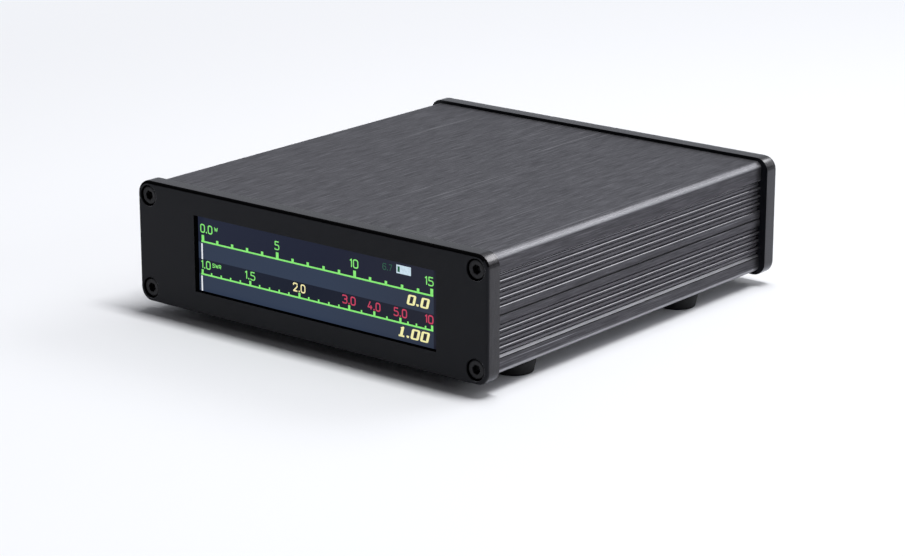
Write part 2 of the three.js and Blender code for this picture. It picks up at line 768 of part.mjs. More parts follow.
function contact() {
  const front = insulatorFace;
  const back = insulatorBack - contactTail;
  const body = turned([
    [0, back + solderCupDepth], [solderCupRadius, back + solderCupDepth], [solderCupRadius, back],
    [contactTailRadius, back], [contactTailRadius, insulatorBack - fitClearance],
    [contactRadius, insulatorBack - fitClearance], [contactRadius, front],
    [contactBoreRadius, front], [contactBoreRadius, front - contactBoreDepth],
    [0, front - contactBoreDepth],
  ], screwSides);
  const slotLength = contactSlotDepth + overrun;
  const slotY = front - contactSlotDepth + slotLength / 2;
  const slotSpan = 2 * (contactRadius + overrun);
  return cut(body, [box(slotSpan, slotLength, contactSlot, 0, slotY, 0),
    box(contactSlot, slotLength, slotSpan, 0, slotY, 0)]);
}

for (const [socket, socketX] of socketPlaces) {
  add(`${socket}_socket`, socketShell(), 'nickel', socketX, 0, centreZ);
  add(`${socket}_insulator`, insulator(), 'insulator', socketX, 0, centreZ);
  add(`${socket}_contact`, contact(), 'silver', socketX, 0, centreZ);
  for (const [place, x, z] of flangeScrewPlaces) {
    const screw = add(`${socket}_screw_${place}`,
      panHeadScrew(flangeScrewDiameter / 2, flangeScrewLength, panHeadDiameter / 2, panHeadHeight),
      'blackSteel', socketX + x, rearFace, centreZ + z);
    screw.rotation.z = Math.PI;
  }
}

// Through line from one contact's solder cup to the other, and the ring cores on it
const lineStartY = insulatorBack - contactTail - fitClearance;
const lineY = lineStartY - lineReach;
const throughLine = new THREE.CurvePath();
const turnX = socketOffset - lineBend;
const turnY = lineY + lineBend;
const at = (x, y) => new THREE.Vector3(x, y, centreZ);
throughLine.add(new THREE.LineCurve3(at(-socketOffset, lineStartY), at(-socketOffset, turnY)));
throughLine.add(new THREE.QuadraticBezierCurve3(
  at(-socketOffset, turnY), at(-socketOffset, lineY), at(-turnX, lineY)));
throughLine.add(new THREE.LineCurve3(at(-turnX, lineY), at(turnX, lineY)));
throughLine.add(new THREE.QuadraticBezierCurve3(
  at(turnX, lineY), at(socketOffset, lineY), at(socketOffset, turnY)));
throughLine.add(new THREE.LineCurve3(at(socketOffset, turnY), at(socketOffset, lineStartY)));
add('through_line', wire(throughLine, lineRadius, lineSteps, lineSides), 'copper');

function ringCore() {
  const half = coreThickness / 2;
  return turned([
    [coreBoreRadius, coreEdgeBreak - half], [coreBoreRadius + coreEdgeBreak, -half],
    [coreRadius - coreEdgeBreak, -half], [coreRadius, coreEdgeBreak - half],
    [coreRadius, half - coreEdgeBreak], [coreRadius - coreEdgeBreak, half],
    [coreBoreRadius + coreEdgeBreak, half], [coreBoreRadius, half - coreEdgeBreak],
    [coreBoreRadius, coreEdgeBreak - half],
  ], screwSides).rotateZ(Math.PI / 2);
}

add('forward_core', ringCore(), 'ferrite', -coreSpanX / 2, lineY, boardTop + coreRadius);
add('reflected_core', ringCore(), 'ferrite', coreSpanX / 2, lineY, boardTop + coreRadius);

// Rocker switch: housing with a flange and an open cavity, and sockets for the rocker's trunnions
const pivotY = rearFace + switchFlangeThickness - pivotDepth;

function switchHousing() {
  const flange = alongY(
    roundedRectangle(switchFlangeWidth, switchFlangeHeight, switchFlangeCorner),
    switchFlangeThickness).translate(0, rearFace, 0);
  const body = box(switchBodyWidth, switchBodyDepth + overrun, switchBodyHeight,
    0, rearFace - (switchBodyDepth - overrun) / 2, 0);
  const mouth = rearFace + switchFlangeThickness;
  const back = rearFace - switchBodyDepth;
  const terminalHoles = [-1, 1].map((side) => box(
    terminalWidth + fitClearance, 2 * (terminalSeat + slideClearance),
    terminalThickness + fitClearance, 0, back, side * terminalSpan / 2));
  return cut(join(flange, [body]), [
    box(cavityWidth, cavityDepth + overrun, cavityHeight, 0, mouth - (cavityDepth - overrun) / 2, 0),
    barX(trunnionRadius + slideClearance, cavityWidth + 2 * trunnionReach, 0, pivotY, 0),
    ...terminalHoles,
  ]);
}

add('switch_housing', switchHousing(), 'blackPlastic', switchX, 0, centreZ);

// The rocker's outline is drawn about its pivot, with its ends on an arc so that they clear the
// cavity at both ends of the throw
function switchRocker() {
  const high = THREE.MathUtils.degToRad(rockerTopAngle);
  const low = THREE.MathUtils.degToRad(rockerLowAngle);
  const sideSteps = cornerSteps;
  const underside = -rockerReach * Math.sin(low);
  const outline = [
    ...arc(0, 0, rockerReach, -low, high, sideSteps),
    [0, rockerDip],
    ...arc(0, 0, rockerReach, Math.PI - high, Math.PI + low, sideSteps),
    [-rockerNubWidth / 2, underside], [-rockerNubTip / 2, -rockerNubReach],
    [rockerNubTip / 2, -rockerNubReach], [rockerNubWidth / 2, underside],
  ];
  const width = cavityWidth - 2 * fitClearance;
  const shape = new THREE.Shape(outline.map(([along, out]) => new THREE.Vector2(along, out)));
  const body = new THREE.ExtrudeGeometry(shape, { depth: width, bevelEnabled: false })
    .rotateY(-Math.PI / 2)
    .translate(width / 2, 0, 0);
  const trunnionLength = cavityWidth + 2 * (trunnionReach - slideClearance);
  return join(body, [barX(trunnionRadius, trunnionLength, 0, 0, 0)]);
}

const rocker = add('switch_rocker', switchRocker(), 'blackPlastic', switchX, pivotY, centreZ);
rocker.rotation.x = THREE.MathUtils.degToRad(rockerTilt);

// Terminals in the housing's back wall, and the leads from them to the main board
const terminalFront = rearFace - switchBodyDepth + terminalSeat;
const leadStartY = terminalFront - terminalLength - fitClearance;
[1, -1].forEach((side, i) => {
  const z = centreZ + side * terminalSpan / 2;
  add(`switch_terminal_${i + 1}`, box(terminalWidth, terminalLength, terminalThickness), 'brass',
    switchX, terminalFront - terminalLength / 2, z);
  const start = new THREE.Vector3(switchX, leadStartY, z);
  const end = new THREE.Vector3(
    switchX - side * leadSpread, leadStartY - leadForward, boardTop + fitClearance);
  const lead = new THREE.CubicBezierCurve3(
    start, new THREE.Vector3(switchX, end.y, z), new THREE.Vector3(end.x, end.y, z), end);
  add(`switch_lead_${i + 1}`, wire(lead, leadRadius, leadSteps, leadSides), 'redLead');
});

// Charging socket, its contact tongue, and the lamp beside it
const chargeMouth = rearFace - chargeSetback;
const chargeShell = cut(alongY(chargeOutline(0), chargeLength), [
  alongY(chargeOutline(-chargeSheet), chargeLength).translate(0, chargeSheet, 0)]);
add('charge_socket', chargeShell, 'steel', chargeX, chargeMouth - chargeLength, chargeZ);
const tongueLength = chargeLength - chargeSheet - stackGap - chargeTongueSetback;
add('charge_tongue', box(chargeTongueWidth, tongueLength, chargeTongueThickness), 'blackPlastic',
  chargeX, chargeMouth - chargeTongueSetback - tongueLength / 2, chargeZ);

const lampFace = rearFace + lampReveal;
const lamp = turned([
  [0, lampFace - lampLength], [lampRadius, lampFace - lampLength],
  ...arc(0, lampFace - lampRadius, lampRadius, 0, Math.PI / 2, cornerSteps / 2),
], smallSides);
add('charge_light', lamp, 'lamp', lampX, 0, chargeZ);

export default meter;
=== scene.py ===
# Power and SWR meter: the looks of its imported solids, in metres, in the solids' own frame.
# X runs to the right, the front faces -Y and Z is up. The sections follow the meter's assembly.

import math

import bpy
from mathutils import Matrix, Quaternion, Vector


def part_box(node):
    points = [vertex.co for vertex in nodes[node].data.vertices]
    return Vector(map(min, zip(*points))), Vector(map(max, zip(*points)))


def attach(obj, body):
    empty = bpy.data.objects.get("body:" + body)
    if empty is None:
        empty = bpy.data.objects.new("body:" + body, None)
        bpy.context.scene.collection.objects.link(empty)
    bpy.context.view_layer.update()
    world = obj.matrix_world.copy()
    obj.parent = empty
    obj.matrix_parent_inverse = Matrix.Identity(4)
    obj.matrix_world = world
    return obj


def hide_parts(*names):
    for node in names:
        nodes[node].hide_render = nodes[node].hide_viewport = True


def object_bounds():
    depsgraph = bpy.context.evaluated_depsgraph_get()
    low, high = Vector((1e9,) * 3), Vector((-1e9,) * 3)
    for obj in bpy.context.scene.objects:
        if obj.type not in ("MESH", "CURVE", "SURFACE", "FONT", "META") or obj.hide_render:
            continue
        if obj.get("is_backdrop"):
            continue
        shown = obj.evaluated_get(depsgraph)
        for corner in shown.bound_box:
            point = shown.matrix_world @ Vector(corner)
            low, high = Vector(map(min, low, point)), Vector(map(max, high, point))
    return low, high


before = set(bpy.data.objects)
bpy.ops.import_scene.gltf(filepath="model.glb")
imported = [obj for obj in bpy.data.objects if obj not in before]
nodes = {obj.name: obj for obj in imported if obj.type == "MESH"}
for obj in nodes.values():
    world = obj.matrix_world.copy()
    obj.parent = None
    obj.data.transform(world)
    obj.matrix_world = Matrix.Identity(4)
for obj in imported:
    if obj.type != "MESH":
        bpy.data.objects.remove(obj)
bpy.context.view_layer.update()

mm = 0.001
scene = bpy.context.scene


# Camera: a long lens in front of the meter, to its right and a little above it, aimed a little
# below its middle. Its place was solved from the corners of the two panels.
def toward(azimuth, elevation):
    """The direction from the meter, in degrees to the right of its front and upwards."""
    turn, rise = math.radians(azimuth), math.radians(elevation)
    return Vector((
        math.sin(turn) * math.cos(rise), -math.cos(turn) * math.cos(rise), math.sin(rise)))


camera_distance = 843.65 * mm
camera_target = Vector((-3.68, -5.20, 5.23)) * mm
camera_back = toward(39.036, 16.570)
camera_lens = bpy.data.cameras.new("camera")
camera_lens.sensor_width = 36.0
camera_lens.lens = 112.0
camera_lens.clip_start = 0.05
camera_lens.clip_end = 50.0
camera = bpy.data.objects.new("camera", camera_lens)
camera.location = camera_target + camera_distance * camera_back
camera.rotation_euler = (-camera_back).to_track_quat("-Z", "Y").to_euler()
scene.collection.objects.link(camera)
scene.camera = camera


# Studio: a pale floor in a light tent, under a narrow strip soft box high on the right, with three
# weaker soft boxes round it. The tent is the world's colour by height: pale at the horizon, then a
# darker gap below its ceiling. Its front half, where the camera stands, is dark.
def linear(color):
    """A colour given as it looks on a screen, 0 to 255, as the shader's linear values."""
    shares = [value / 255 for value in color]
    return (*[share / 12.92 if share <= 0.04045 else ((share + 0.055) / 1.055) ** 2.4
              for share in shares], 1.0)


def fed(tree, node, output, inputs):
    """The node's output, once each of its inputs is linked to a socket or set to a value."""
    for name, value in inputs.items():
        if isinstance(value, bpy.types.NodeSocket):
            tree.links.new(value, node.inputs[name])
        else:
            node.inputs[name].default_value = value
    return node.outputs[output]


def shader(name, color, metallic=0.0, roughness=0.5, specular=0.5):
    """A new material with its main values set, its node tree and its shader node."""
    material = bpy.data.materials.new(name)
    material.use_nodes = True
    tree = material.node_tree
    surface = tree.nodes["Principled BSDF"]
    fed(tree, surface, "BSDF", {"Base Color": linear(color), "Metallic": metallic,
                                "Roughness": roughness, "Specular IOR Level": specular})
    return material, tree, surface


def along(tree, axis, source="Object"):
    """The object's own X, Y or Z coordinate, or that part of its normal or of the view."""
    place = tree.nodes.new("ShaderNodeTexCoord").outputs[source]
    return fed(tree, tree.nodes.new("ShaderNodeSeparateXYZ"), axis, {"Vector": place})


def spread(tree, value, low, high, from_low=0.3, from_high=0.7, way="LINEAR"):
    """The value's range carried onto low to high."""
    fit = tree.nodes.new("ShaderNodeMapRange")
    fit.interpolation_type = way
    return fed(tree, fit, "Result", {"Value": value, "From Min": from_low, "From Max": from_high,
                                     "To Min": low, "To Max": high})


def shade(tree, value, *stops):
    """A colour ramp over the value, from (position, colour) stops."""
    ramp = tree.nodes.new("ShaderNodeValToRGB")
    elements = ramp.color_ramp.elements
    while len(elements) < len(stops):
        elements.new(0.5)
    for element, (position, color) in zip(elements, stops):
        element.position = position
        element.color = linear(color)
    return fed(tree, ramp, "Color", {"Fac": value})


def calc(tree, operation, first, second=0.0):
    """One sum on values; either may be a number."""
    node = tree.nodes.new("ShaderNodeMath")
    node.operation = operation
    return fed(tree, node, "Value", {0: first, 1: second})


def mixed(tree, factor, first, second):
    """The first colour where the factor is 0, the second where it is 1."""
    node = tree.nodes.new("ShaderNodeMix")
    node.data_type = "RGBA"
    return fed(tree, node, "Result", {"Factor": factor, "A": first, "B": second})


def soft_box(name, azimuth, elevation, distance, width, height, level, roll=0):
    """A soft box aimed at the meter; level is its brightness, where 1 is white."""
    lamp = bpy.data.lights.new(name, "AREA")
    lamp.shape = "RECTANGLE"
    lamp.size = width
    lamp.size_y = height
    lamp.energy = level * math.pi * width * height
    holder = bpy.data.objects.new(name, lamp)
    away = toward(azimuth, elevation)
    holder.location = away * distance
    rolled = Quaternion((0, 0, 1), math.radians(roll))
    holder.rotation_euler = (away.to_track_quat("Z", "Y") @ rolled).to_euler()
    scene.collection.objects.link(holder)


scene.view_settings.view_transform = "Standard"

horizon, gap, valance, ceiling = (246, 248, 253), (146, 147, 150), (194, 195, 198), (176, 177, 180)
world = bpy.data.worlds.new("light_tent")
scene.world = world
world.use_nodes = True
tent = world.node_tree
tent_color = shade(tent, along(tent, "Z", "Generated"), (0.0, horizon), (0.10, horizon),
                   (0.13, gap), (0.20, gap), (0.28, valance), (0.50, ceiling))
tent_front = spread(tent, along(tent, "Y", "Generated"), 1.0, 0.0, -0.05, 0.20, "SMOOTHSTEP")
fed(tent, tent.nodes["Background"], "Background",
    {"Color": mixed(tent, tent_front, tent_color, linear((62, 62, 64)))})

soft_box("soft_box_overhead", 107, 79, 1.5, 0.26, 0.84, 27.5, -17)
soft_box("soft_box_rear", 159, 39, 1.6, 1.00, 0.50, 3.3)
soft_box("soft_box_right", 96, 24, 1.6, 0.90, 0.35, 2.1)
soft_box("soft_box_front", 350, 55, 1.6, 0.60, 0.40, 0.6)

bpy.ops.object.select_all(action="DESELECT")
bpy.ops.mesh.primitive_plane_add(size=30)
floor = bpy.context.object
floor.name = "floor"
pale_floor, tree, surface = shader("pale_floor", (255, 255, 255), 0.0, 0.9, 0.0)
surface.inputs["Base Color"].default_value = (0.86, 0.87, 0.90, 1)
far_glow = fed(tree, tree.nodes.new("ShaderNodeEmission"), "Emission", {"Color": linear(horizon)})
reach = tree.nodes.new("ShaderNodeVectorMath")
reach.operation = "LENGTH"
reached = fed(tree, reach, "Value", {0: tree.nodes.new("ShaderNodeTexCoord").outputs["Object"]})
rays = tree.nodes.new("ShaderNodeLightPath").outputs
seen = calc(tree, "MAXIMUM", rays["Is Camera Ray"], rays["Is Glossy Ray"])
seen = calc(tree, "MAXIMUM", seen, rays["Is Transmission Ray"])
glow_share = calc(tree, "MULTIPLY", spread(tree, reached, 0.0, 1.0, 0.20, 0.70, "SMOOTHSTEP"), seen)
faded = fed(tree, tree.nodes.new("ShaderNodeMixShader"), "Shader",
            {"Fac": glow_share, 1: surface.outputs["BSDF"], 2: far_glow})
tree.links.new(faded, tree.nodes["Material Output"].inputs["Surface"])
floor.data.materials.append(pale_floor)
floor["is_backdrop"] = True


# Case halves: two shells of one black anodised aluminium extrusion, cut to length and brushed along
# it. The solids are merged and their lands and rounds shaded smoothly. The colour goes by place and
# facing: lands, ribs, groove floors, crests, seam and shaded folds, with light and shade painted
# in:
# the sides painted darker than the top, the ribs and groove floors painted lighter, painted
# highlights on the rounds and crests, and painted shade under the crests and in the folds.
def choose(*objects):
    """Selects these objects alone and makes the last one active."""
    bpy.ops.object.select_all(action="DESELECT")
    for chosen in objects:
        chosen.select_set(True)
    bpy.context.view_layer.objects.active = objects[-1]


def edit_all():
    """Goes to edit mode with the whole mesh selected."""
    bpy.ops.object.mode_set(mode="EDIT")
    bpy.ops.mesh.select_all(action="SELECT")


def broken(piece, edge):
    """Breaks the active piece's sharp edges."""
    bevel = piece.modifiers.new("edge", "BEVEL")
    bevel.width = edge
    bevel.segments = 2
    bevel.limit_method = "ANGLE"
    bevel.angle_limit = math.radians(40)
    bpy.ops.object.modifier_apply(modifier="edge")


def placed(piece, material, slot, *stands_for, body="case"):
    """Gives a piece that is where it belongs its material and puts it on the body; the slot is not
    used.
    """
    piece.data.materials.clear()
    piece.data.materials.append(material)
    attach(piece, body)
    if stands_for:
        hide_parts(*stands_for)


def dressed(node, name, material, slot, smooth=40, edge=0.0, body="case"):
    """A solid as a finished piece: merged, its flats joined, its edges broken, shaded smooth."""
    piece = bpy.data.objects.new(name, nodes[node].data.copy())
    scene.collection.objects.link(piece)
    choose(piece)
    bpy.ops.mesh.customdata_custom_splitnormals_clear()
    edit_all()
    bpy.ops.mesh.remove_doubles(threshold=0.002 * mm)
    bpy.ops.mesh.dissolve_limited(angle_limit=math.radians(0.5))
    bpy.ops.object.mode_set(mode="OBJECT")
    if edge:
        broken(piece, edge)
    bpy.ops.object.shade_smooth_by_angle(angle=math.radians(smooth))
    weighted = piece.modifiers.new("weighted", "WEIGHTED_NORMAL")
    weighted.keep_sharp = True
    bpy.ops.object.modifier_apply(modifier="weighted")
    placed(piece, material, slot, node, body=body)
    return piece


def grain(tree, waves, detail=3.0, roughness=0.6):
    """Noise on the object's own coordinates, of so many waves to the metre, or along X, Y and Z."""
    if isinstance(waves, int):
        waves = (waves, waves, waves)
    place = tree.nodes.new("ShaderNodeTexCoord").outputs["Object"]
    scaled = fed(tree, tree.nodes.new("ShaderNodeMapping"), "Vector",
                 {"Vector": place, "Scale": waves})
    return fed(tree, tree.nodes.new("ShaderNodeTexNoise"), "Fac", {
        "Vector": scaled, "Scale": 1.0, "Detail": detail, "Roughness": roughness})


def tinted(tree, value, dark, light, low=0.3, high=0.7):
    """Dark where the value is low, light where it is high."""
    return shade(tree, value, (low, dark), (high, light))


def relief(tree, surface, value, depth):
    """The value as a bump, depth metres deep."""
    bump = fed(tree, tree.nodes.new("ShaderNodeBump"), "Normal",
               {"Height": value, "Distance": depth, "Strength": 1.0})
    tree.links.new(bump, surface.inputs["Normal"])


def facing(tree, axis):
    """How far the surface faces along the axis, whichever way, from 0 to 1."""
    return calc(tree, "ABSOLUTE", along(tree, axis, "Normal"))


def above(tree, value, start, end):
    """0 below start, 1 above end."""
    return spread(tree, value, 0.0, 1.0, start, end)


def below(tree, value, start, end):
    """1 below start, 0 above end."""
    return spread(tree, value, 1.0, 0.0, start, end)


def within(tree, value, start, low, high, end):
    """1 from low to high, 0 below start and above end."""
    return calc(tree, "MULTIPLY", above(tree, value, start, low), below(tree, value, high, end))


brushed, tree, surface = shader("brushed_black_anodise", (90, 90, 94), 0.85, 0.42)
strokes = grain(tree, (2900, 84, 2900), 4, 0.82)
flat_color = shade(tree, strokes, (0.30, (77, 77, 81)), (0.50, (112, 112, 117)),
                   (0.70, (153, 153, 160)))
# Painted shade: the case's sides are painted darker than its top.
side_shade_color = shade(tree, strokes, (0.30, (58, 58, 61)), (0.50, (81, 80, 84)),
                   (0.70, (108, 107, 112)))
# Painted highlight on the case's rounds.
round_highlight_color = tinted(tree, strokes, (108, 108, 112), (142, 142, 147), 0.28, 0.72)
# Painted highlight on the crests' chamfers.
crest_light_and_shade = tinted(tree, strokes, (112, 112, 116), (146, 146, 151), 0.28, 0.72)
# Painted light: the groove floors and ribs are painted lighter than the side, as lit inside.
groove_floor_light = tinted(tree, strokes, (124, 123, 128), (158, 157, 163), 0.28, 0.72)
rib_light_color = tinted(tree, strokes, (88, 87, 91), (112, 111, 116), 0.28, 0.72)
# Painted shade, also used to darken the seam.
shaded_color = tinted(tree, strokes, (20, 20, 21), (32, 32, 33), 0.28, 0.72)
# Painted reflection of the floor on the rounds' lower parts and downward faces.
lower_highlight_color = tinted(tree, strokes, (170, 170, 175), (200, 200, 205), 0.28, 0.72)
scratch_color = tinted(tree, strokes, (158, 158, 164), (186, 186, 192), 0.28, 0.72)

centre_z = 21.75
face_x = facing(tree, "X")
off_centre = calc(tree, "ABSOLUTE", calc(tree, "SUBTRACT", along(tree, "Z"), centre_z * mm))
across = calc(tree, "ABSOLUTE", along(tree, "X"))
grooved = within(tree, off_centre, 1.4 * mm, 1.5 * mm, 11.4 * mm, 11.5 * mm)
sunk = calc(tree, "MULTIPLY", grooved, below(tree, across, 62.55 * mm, 62.7 * mm))
lowest = calc(tree, "MULTIPLY", grooved, below(tree, across, 61.95 * mm, 62.05 * mm))
# Painted shade: a dark line under the top land of the groove band and one just below the band.
top_fold_shade = calc(tree, "MULTIPLY", above(tree, off_centre, 10.8 * mm, 10.9 * mm),
                above(tree, across, 62.56 * mm, 62.60 * mm))
low_fold_shade = calc(tree, "MULTIPLY",
                within(tree, along(tree, "Z"), 9.24 * mm, 9.28 * mm, 9.52 * mm, 9.56 * mm),
                above(tree, across, 62.7 * mm, 62.78 * mm))
seam = spread(tree, off_centre, 0.95, 0.0, 0.9 * mm, 1.0 * mm)
downward = below(tree, along(tree, "Z", "Normal"), -0.60, -0.25)
flank = above(tree, face_x, 0.70, 0.88)
edges = above(tree, calc(tree, "MULTIPLY", face_x, facing(tree, "Z")), 0.16, 0.40)
scratches = spread(tree, grain(tree, (1500, 10, 1500), 2, 0.5), 0.0, 0.7, 0.67, 0.73)

land_color = mixed(tree, above(tree, face_x, 0.5, 0.9), flat_color, side_shade_color)
land_color = mixed(tree, scratches, land_color, scratch_color)
groove_color = mixed(tree, lowest, mixed(tree, sunk, land_color, rib_light_color), groove_floor_light)
groove_color = mixed(tree, low_fold_shade, groove_color, shaded_color)
# Painted shade where the crests face down and in the fold under the top land.
crest_light_and_shade = mixed(tree, downward, crest_light_and_shade, shaded_color)
crest_light_and_shade = mixed(tree, top_fold_shade, crest_light_and_shade, shaded_color)
# The rounds take their painted highlight, lighter where they face sideways or down.
round_highlight_color = mixed(tree, flank, round_highlight_color, lower_highlight_color)
round_highlight_color = mixed(tree, downward, round_highlight_color, lower_highlight_color)
edge_light_and_shade = mixed(tree, seam, mixed(tree, grooved, round_highlight_color, crest_light_and_shade), shaded_color)
polished = calc(tree, "MULTIPLY", calc(tree, "MULTIPLY", edges, grooved), 0.16)
fed(tree, surface, "BSDF", {
    "Base Color": mixed(tree, edges, groove_color, edge_light_and_shade),
    "Roughness": calc(tree, "SUBTRACT", spread(tree, grain(tree, (900, 9, 900)), 0.38, 0.48),
                      polished),
    "Specular Tint": (0.45, 0.45, 0.47, 1)})
relief(tree, surface, strokes, 0.003 * mm)

for half in ("upper", "lower"):
    dressed(f"{half}_shell", f"{half}_case_half", brushed, "case_extrusion", 30)


# End panels: thick aluminium plates, anodised black, with faces blasted to a dark satin and
# brighter rims, as they come off the cutter. The rims get a painted highlight and a painted dark
# reflection by how far they face up, and the window walls and rounded top edges a flat painted
# black for shade and dark reflection. The solids get broken edges, and the mouths of the screw
# holes are drawn out into lips that are painted bright on the side to the light and black on the
# other side.
def speckled(name, color, waves, dark, light, metallic=0.0, roughness=0.5, specular=0.5,
             detail=3, low=0.3, high=0.7, dull=None, depth=0.0):
    """A material whose colour, roughness and relief follow one fine noise."""
    material, tree, surface = shader(name, color, metallic, roughness, specular)
    noise = grain(tree, waves, detail)
    tree.links.new(tinted(tree, noise, dark, light, low, high), surface.inputs["Base Color"])
    if dull:
        tree.links.new(spread(tree, noise, *dull), surface.inputs["Roughness"])
    if depth:
        relief(tree, surface, noise, depth)
    return material


panel, tree, surface = shader("satin_black_anodise", (34, 35, 38), 0.0, 0.5, 0.19)
blast = grain(tree, 5200, 2)
mill = grain(tree, (300, 3600, 300))
face_color = tinted(tree, blast, (11, 12, 17), (18, 19, 25))
rim_color = tinted(tree, mill, (60, 59, 61), (73, 72, 74))
rim_dark_reflection = tinted(tree, mill, (41, 40, 42), (53, 52, 53))
rim_highlight = tinted(tree, mill, (91, 90, 92), (119, 118, 120))
rim = below(tree, facing(tree, "Y"), 0.03, 0.20)
upward = along(tree, "Z", "Normal")
# Painted reflection on the rims: a dark band where they face a little up, a highlight half up.
rim_color = mixed(tree, within(tree, upward, 0.05, 0.14, 0.30, 0.40), rim_color, rim_dark_reflection)
rim_color = mixed(tree, within(tree, upward, 0.34, 0.48, 0.90, 0.98), rim_color, rim_highlight)
fed(tree, surface, "BSDF", {
    "Base Color": mixed(tree, rim, face_color, rim_color),
    "Metallic": spread(tree, rim, 0.0, 0.8, 0.0, 1.0),
    "Roughness": spread(tree, rim, 0.5, 0.19, 0.0, 1.0),
    "Specular Tint": (0.94, 0.96, 1.0, 1)})
relief(tree, surface, blast, 0.004 * mm)

# Painted shade and dark reflection: flat black for window walls, lips' far sides and top rounds.
dark_reflection_and_shade = speckled("painted_dark_reflection_and_shade", (9, 9, 10), 3000, (6, 6, 7), (12, 12, 13),
                      roughness=0.6, specular=0.0, detail=2)
# Painted highlight on the sides of the screw hole lips that face the light.
lip_highlight = speckled("painted_lip_highlight", (150, 150, 154), 2600, (140, 140, 144), (172, 172, 177),
                    metallic=0.3, roughness=0.45, detail=2)

corners = {"top_left": (-1, 1), "top_right": (1, 1),
           "bottom_left": (-1, -1), "bottom_right": (1, -1)}
screw_x, screw_z = 60.75, 13.95
lip_reach, lip_flare = 3.4, 1.055
for end in ("front", "rear"):
    plate = dressed(f"{end}_panel", f"{end}_plate", panel, "panel_anodised", 40, 0.08 * mm)
    plate.data.materials.append(dark_reflection_and_shade)
    plate.data.materials.append(lip_highlight)
    outer = (min if end == "front" else max)(vertex.co.y for vertex in plate.data.vertices)
    for side, level in corners.values():
        hole = Vector((side * screw_x * mm, outer, (centre_z + level * screw_z) * mm))
        for vertex in plate.data.vertices:
            vertex.select = ((vertex.co - hole).length < lip_reach * mm
                             and abs(vertex.co.y - outer) < 0.01 * mm)
        for face in plate.data.polygons:
            face.select = False
        for line in plate.data.edges:
            line.select = all(plate.data.vertices[k].select for k in line.vertices)
        choose(plate)
        bpy.ops.object.mode_set(mode="EDIT")
        bpy.ops.transform.resize(value=(lip_flare, 1, lip_flare), center_override=hole)
        bpy.ops.object.mode_set(mode="OBJECT")
    # Faces take the painted colours by facing: lips' sides to the light the painted highlight,
    # other lip faces, the window walls and the rounded top edges the painted black.
    for face in plate.data.polygons:
        x, z = abs(face.center.x) / mm, abs(face.center.z / mm - centre_z)
        frontal = abs(face.normal.y)
        inner = x < 60 and z < 14
        if math.hypot(x - screw_x, z - screw_z) < lip_reach + 0.2 and frontal < 0.99:
            to_light = 0.4 * face.normal.z - 0.9 * face.normal.x > 0.08
            face.material_index = 2 if to_light and frontal > 0.12 else 1
        elif inner and frontal < 0.5:
            face.material_index = 1
        elif not inner and 0.12 < frontal < 0.97 and face.normal.z > 0.3:
            face.material_index = 1


# Panel screws: eight M3 cap screws of blackened steel, each with a hexagon socket, sunk in the
# panels' counterbores. Turned, cut, given a thread, and copied to the corners.
def outline(name, points):
    """A chain of edges through (radius, height) points in millimetres, standing in X and Z."""
    bpy.ops.object.select_all(action="DESELECT")
    bpy.ops.mesh.primitive_plane_add(size=mm)
    chain = bpy.context.object
    chain.name = name
    edit_all()
    bpy.ops.mesh.merge(type="COLLAPSE")
    radius, height = points[0]
    bpy.ops.transform.translate(value=(radius * mm, 0, height * mm))
    for next_radius, next_height in points[1:]:
        step = ((next_radius - radius) * mm, 0, (next_height - height) * mm)
        bpy.ops.mesh.extrude_region_move(TRANSFORM_OT_translate={"value": step})
        radius, height = next_radius, next_height
    bpy.ops.mesh.select_all(action="SELECT")
    bpy.ops.mesh.remove_doubles(threshold=0.002 * mm)
    bpy.ops.object.mode_set(mode="OBJECT")
    return chain


def weld():
    """Merges the mesh's doubled points, turns its faces outwards and leaves edit mode."""
    bpy.ops.mesh.select_all(action="SELECT")
    bpy.ops.mesh.remove_doubles(threshold=0.002 * mm)
    bpy.ops.mesh.normals_make_consistent(inside=False)
    bpy.ops.object.mode_set(mode="OBJECT")


def turned(name, profile, steps=48):
    """A piece turned about Z from (radius, height) points in millimetres."""
    piece = outline(name, profile)
    edit_all()
    bpy.ops.mesh.spin(steps=steps, angle=2 * math.pi, center=(0, 0, 0), axis=(0, 0, 1))
    weld()
    return piece


def helix(name, root, crest, pitch, low, high, steps=24):
    """The ridge of a right-hand thread about Z, from low to high."""
    ridge = outline(name, [(root, low), (root, low + 0.86 * pitch), (crest, low + 0.52 * pitch),
                           (crest, low + 0.34 * pitch), (root, low)])
    screw = ridge.modifiers.new("screw", "SCREW")
    screw.axis = "Z"
    screw.screw_offset = pitch * mm
    screw.iterations = int((high - low) / pitch) - 1
    screw.steps = screw.render_steps = steps
    bpy.ops.object.modifier_apply(modifier="screw")
    edit_all()
    bpy.ops.mesh.fill_holes(sides=4)
    bpy.ops.mesh.select_all(action="SELECT")
    bpy.ops.mesh.normals_make_consistent(inside=False)
    bpy.ops.object.mode_set(mode="OBJECT")
    return ridge


def prism(sides, radius, low, high, turn=0.0):
    """A straight bar about Z, for cutting."""
    bpy.ops.object.select_all(action="DESELECT")
    bpy.ops.mesh.primitive_cylinder_add(
        vertices=sides, radius=radius * mm, depth=(high - low) * mm,
        location=(0, 0, (high + low) / 2 * mm), rotation=(0, 0, turn))
    bpy.ops.object.transform_apply(location=True, rotation=True, scale=True)
    return bpy.context.object


def cut(piece, *tools):
    """Takes the tools out of the piece."""
    for tool in tools:
        choose(piece)
        taken = piece.modifiers.new("cut", "BOOLEAN")
        taken.operation = "DIFFERENCE"
        taken.solver = "EXACT"
        taken.object = tool
        bpy.ops.object.modifier_apply(modifier="cut")
        bpy.data.objects.remove(tool)


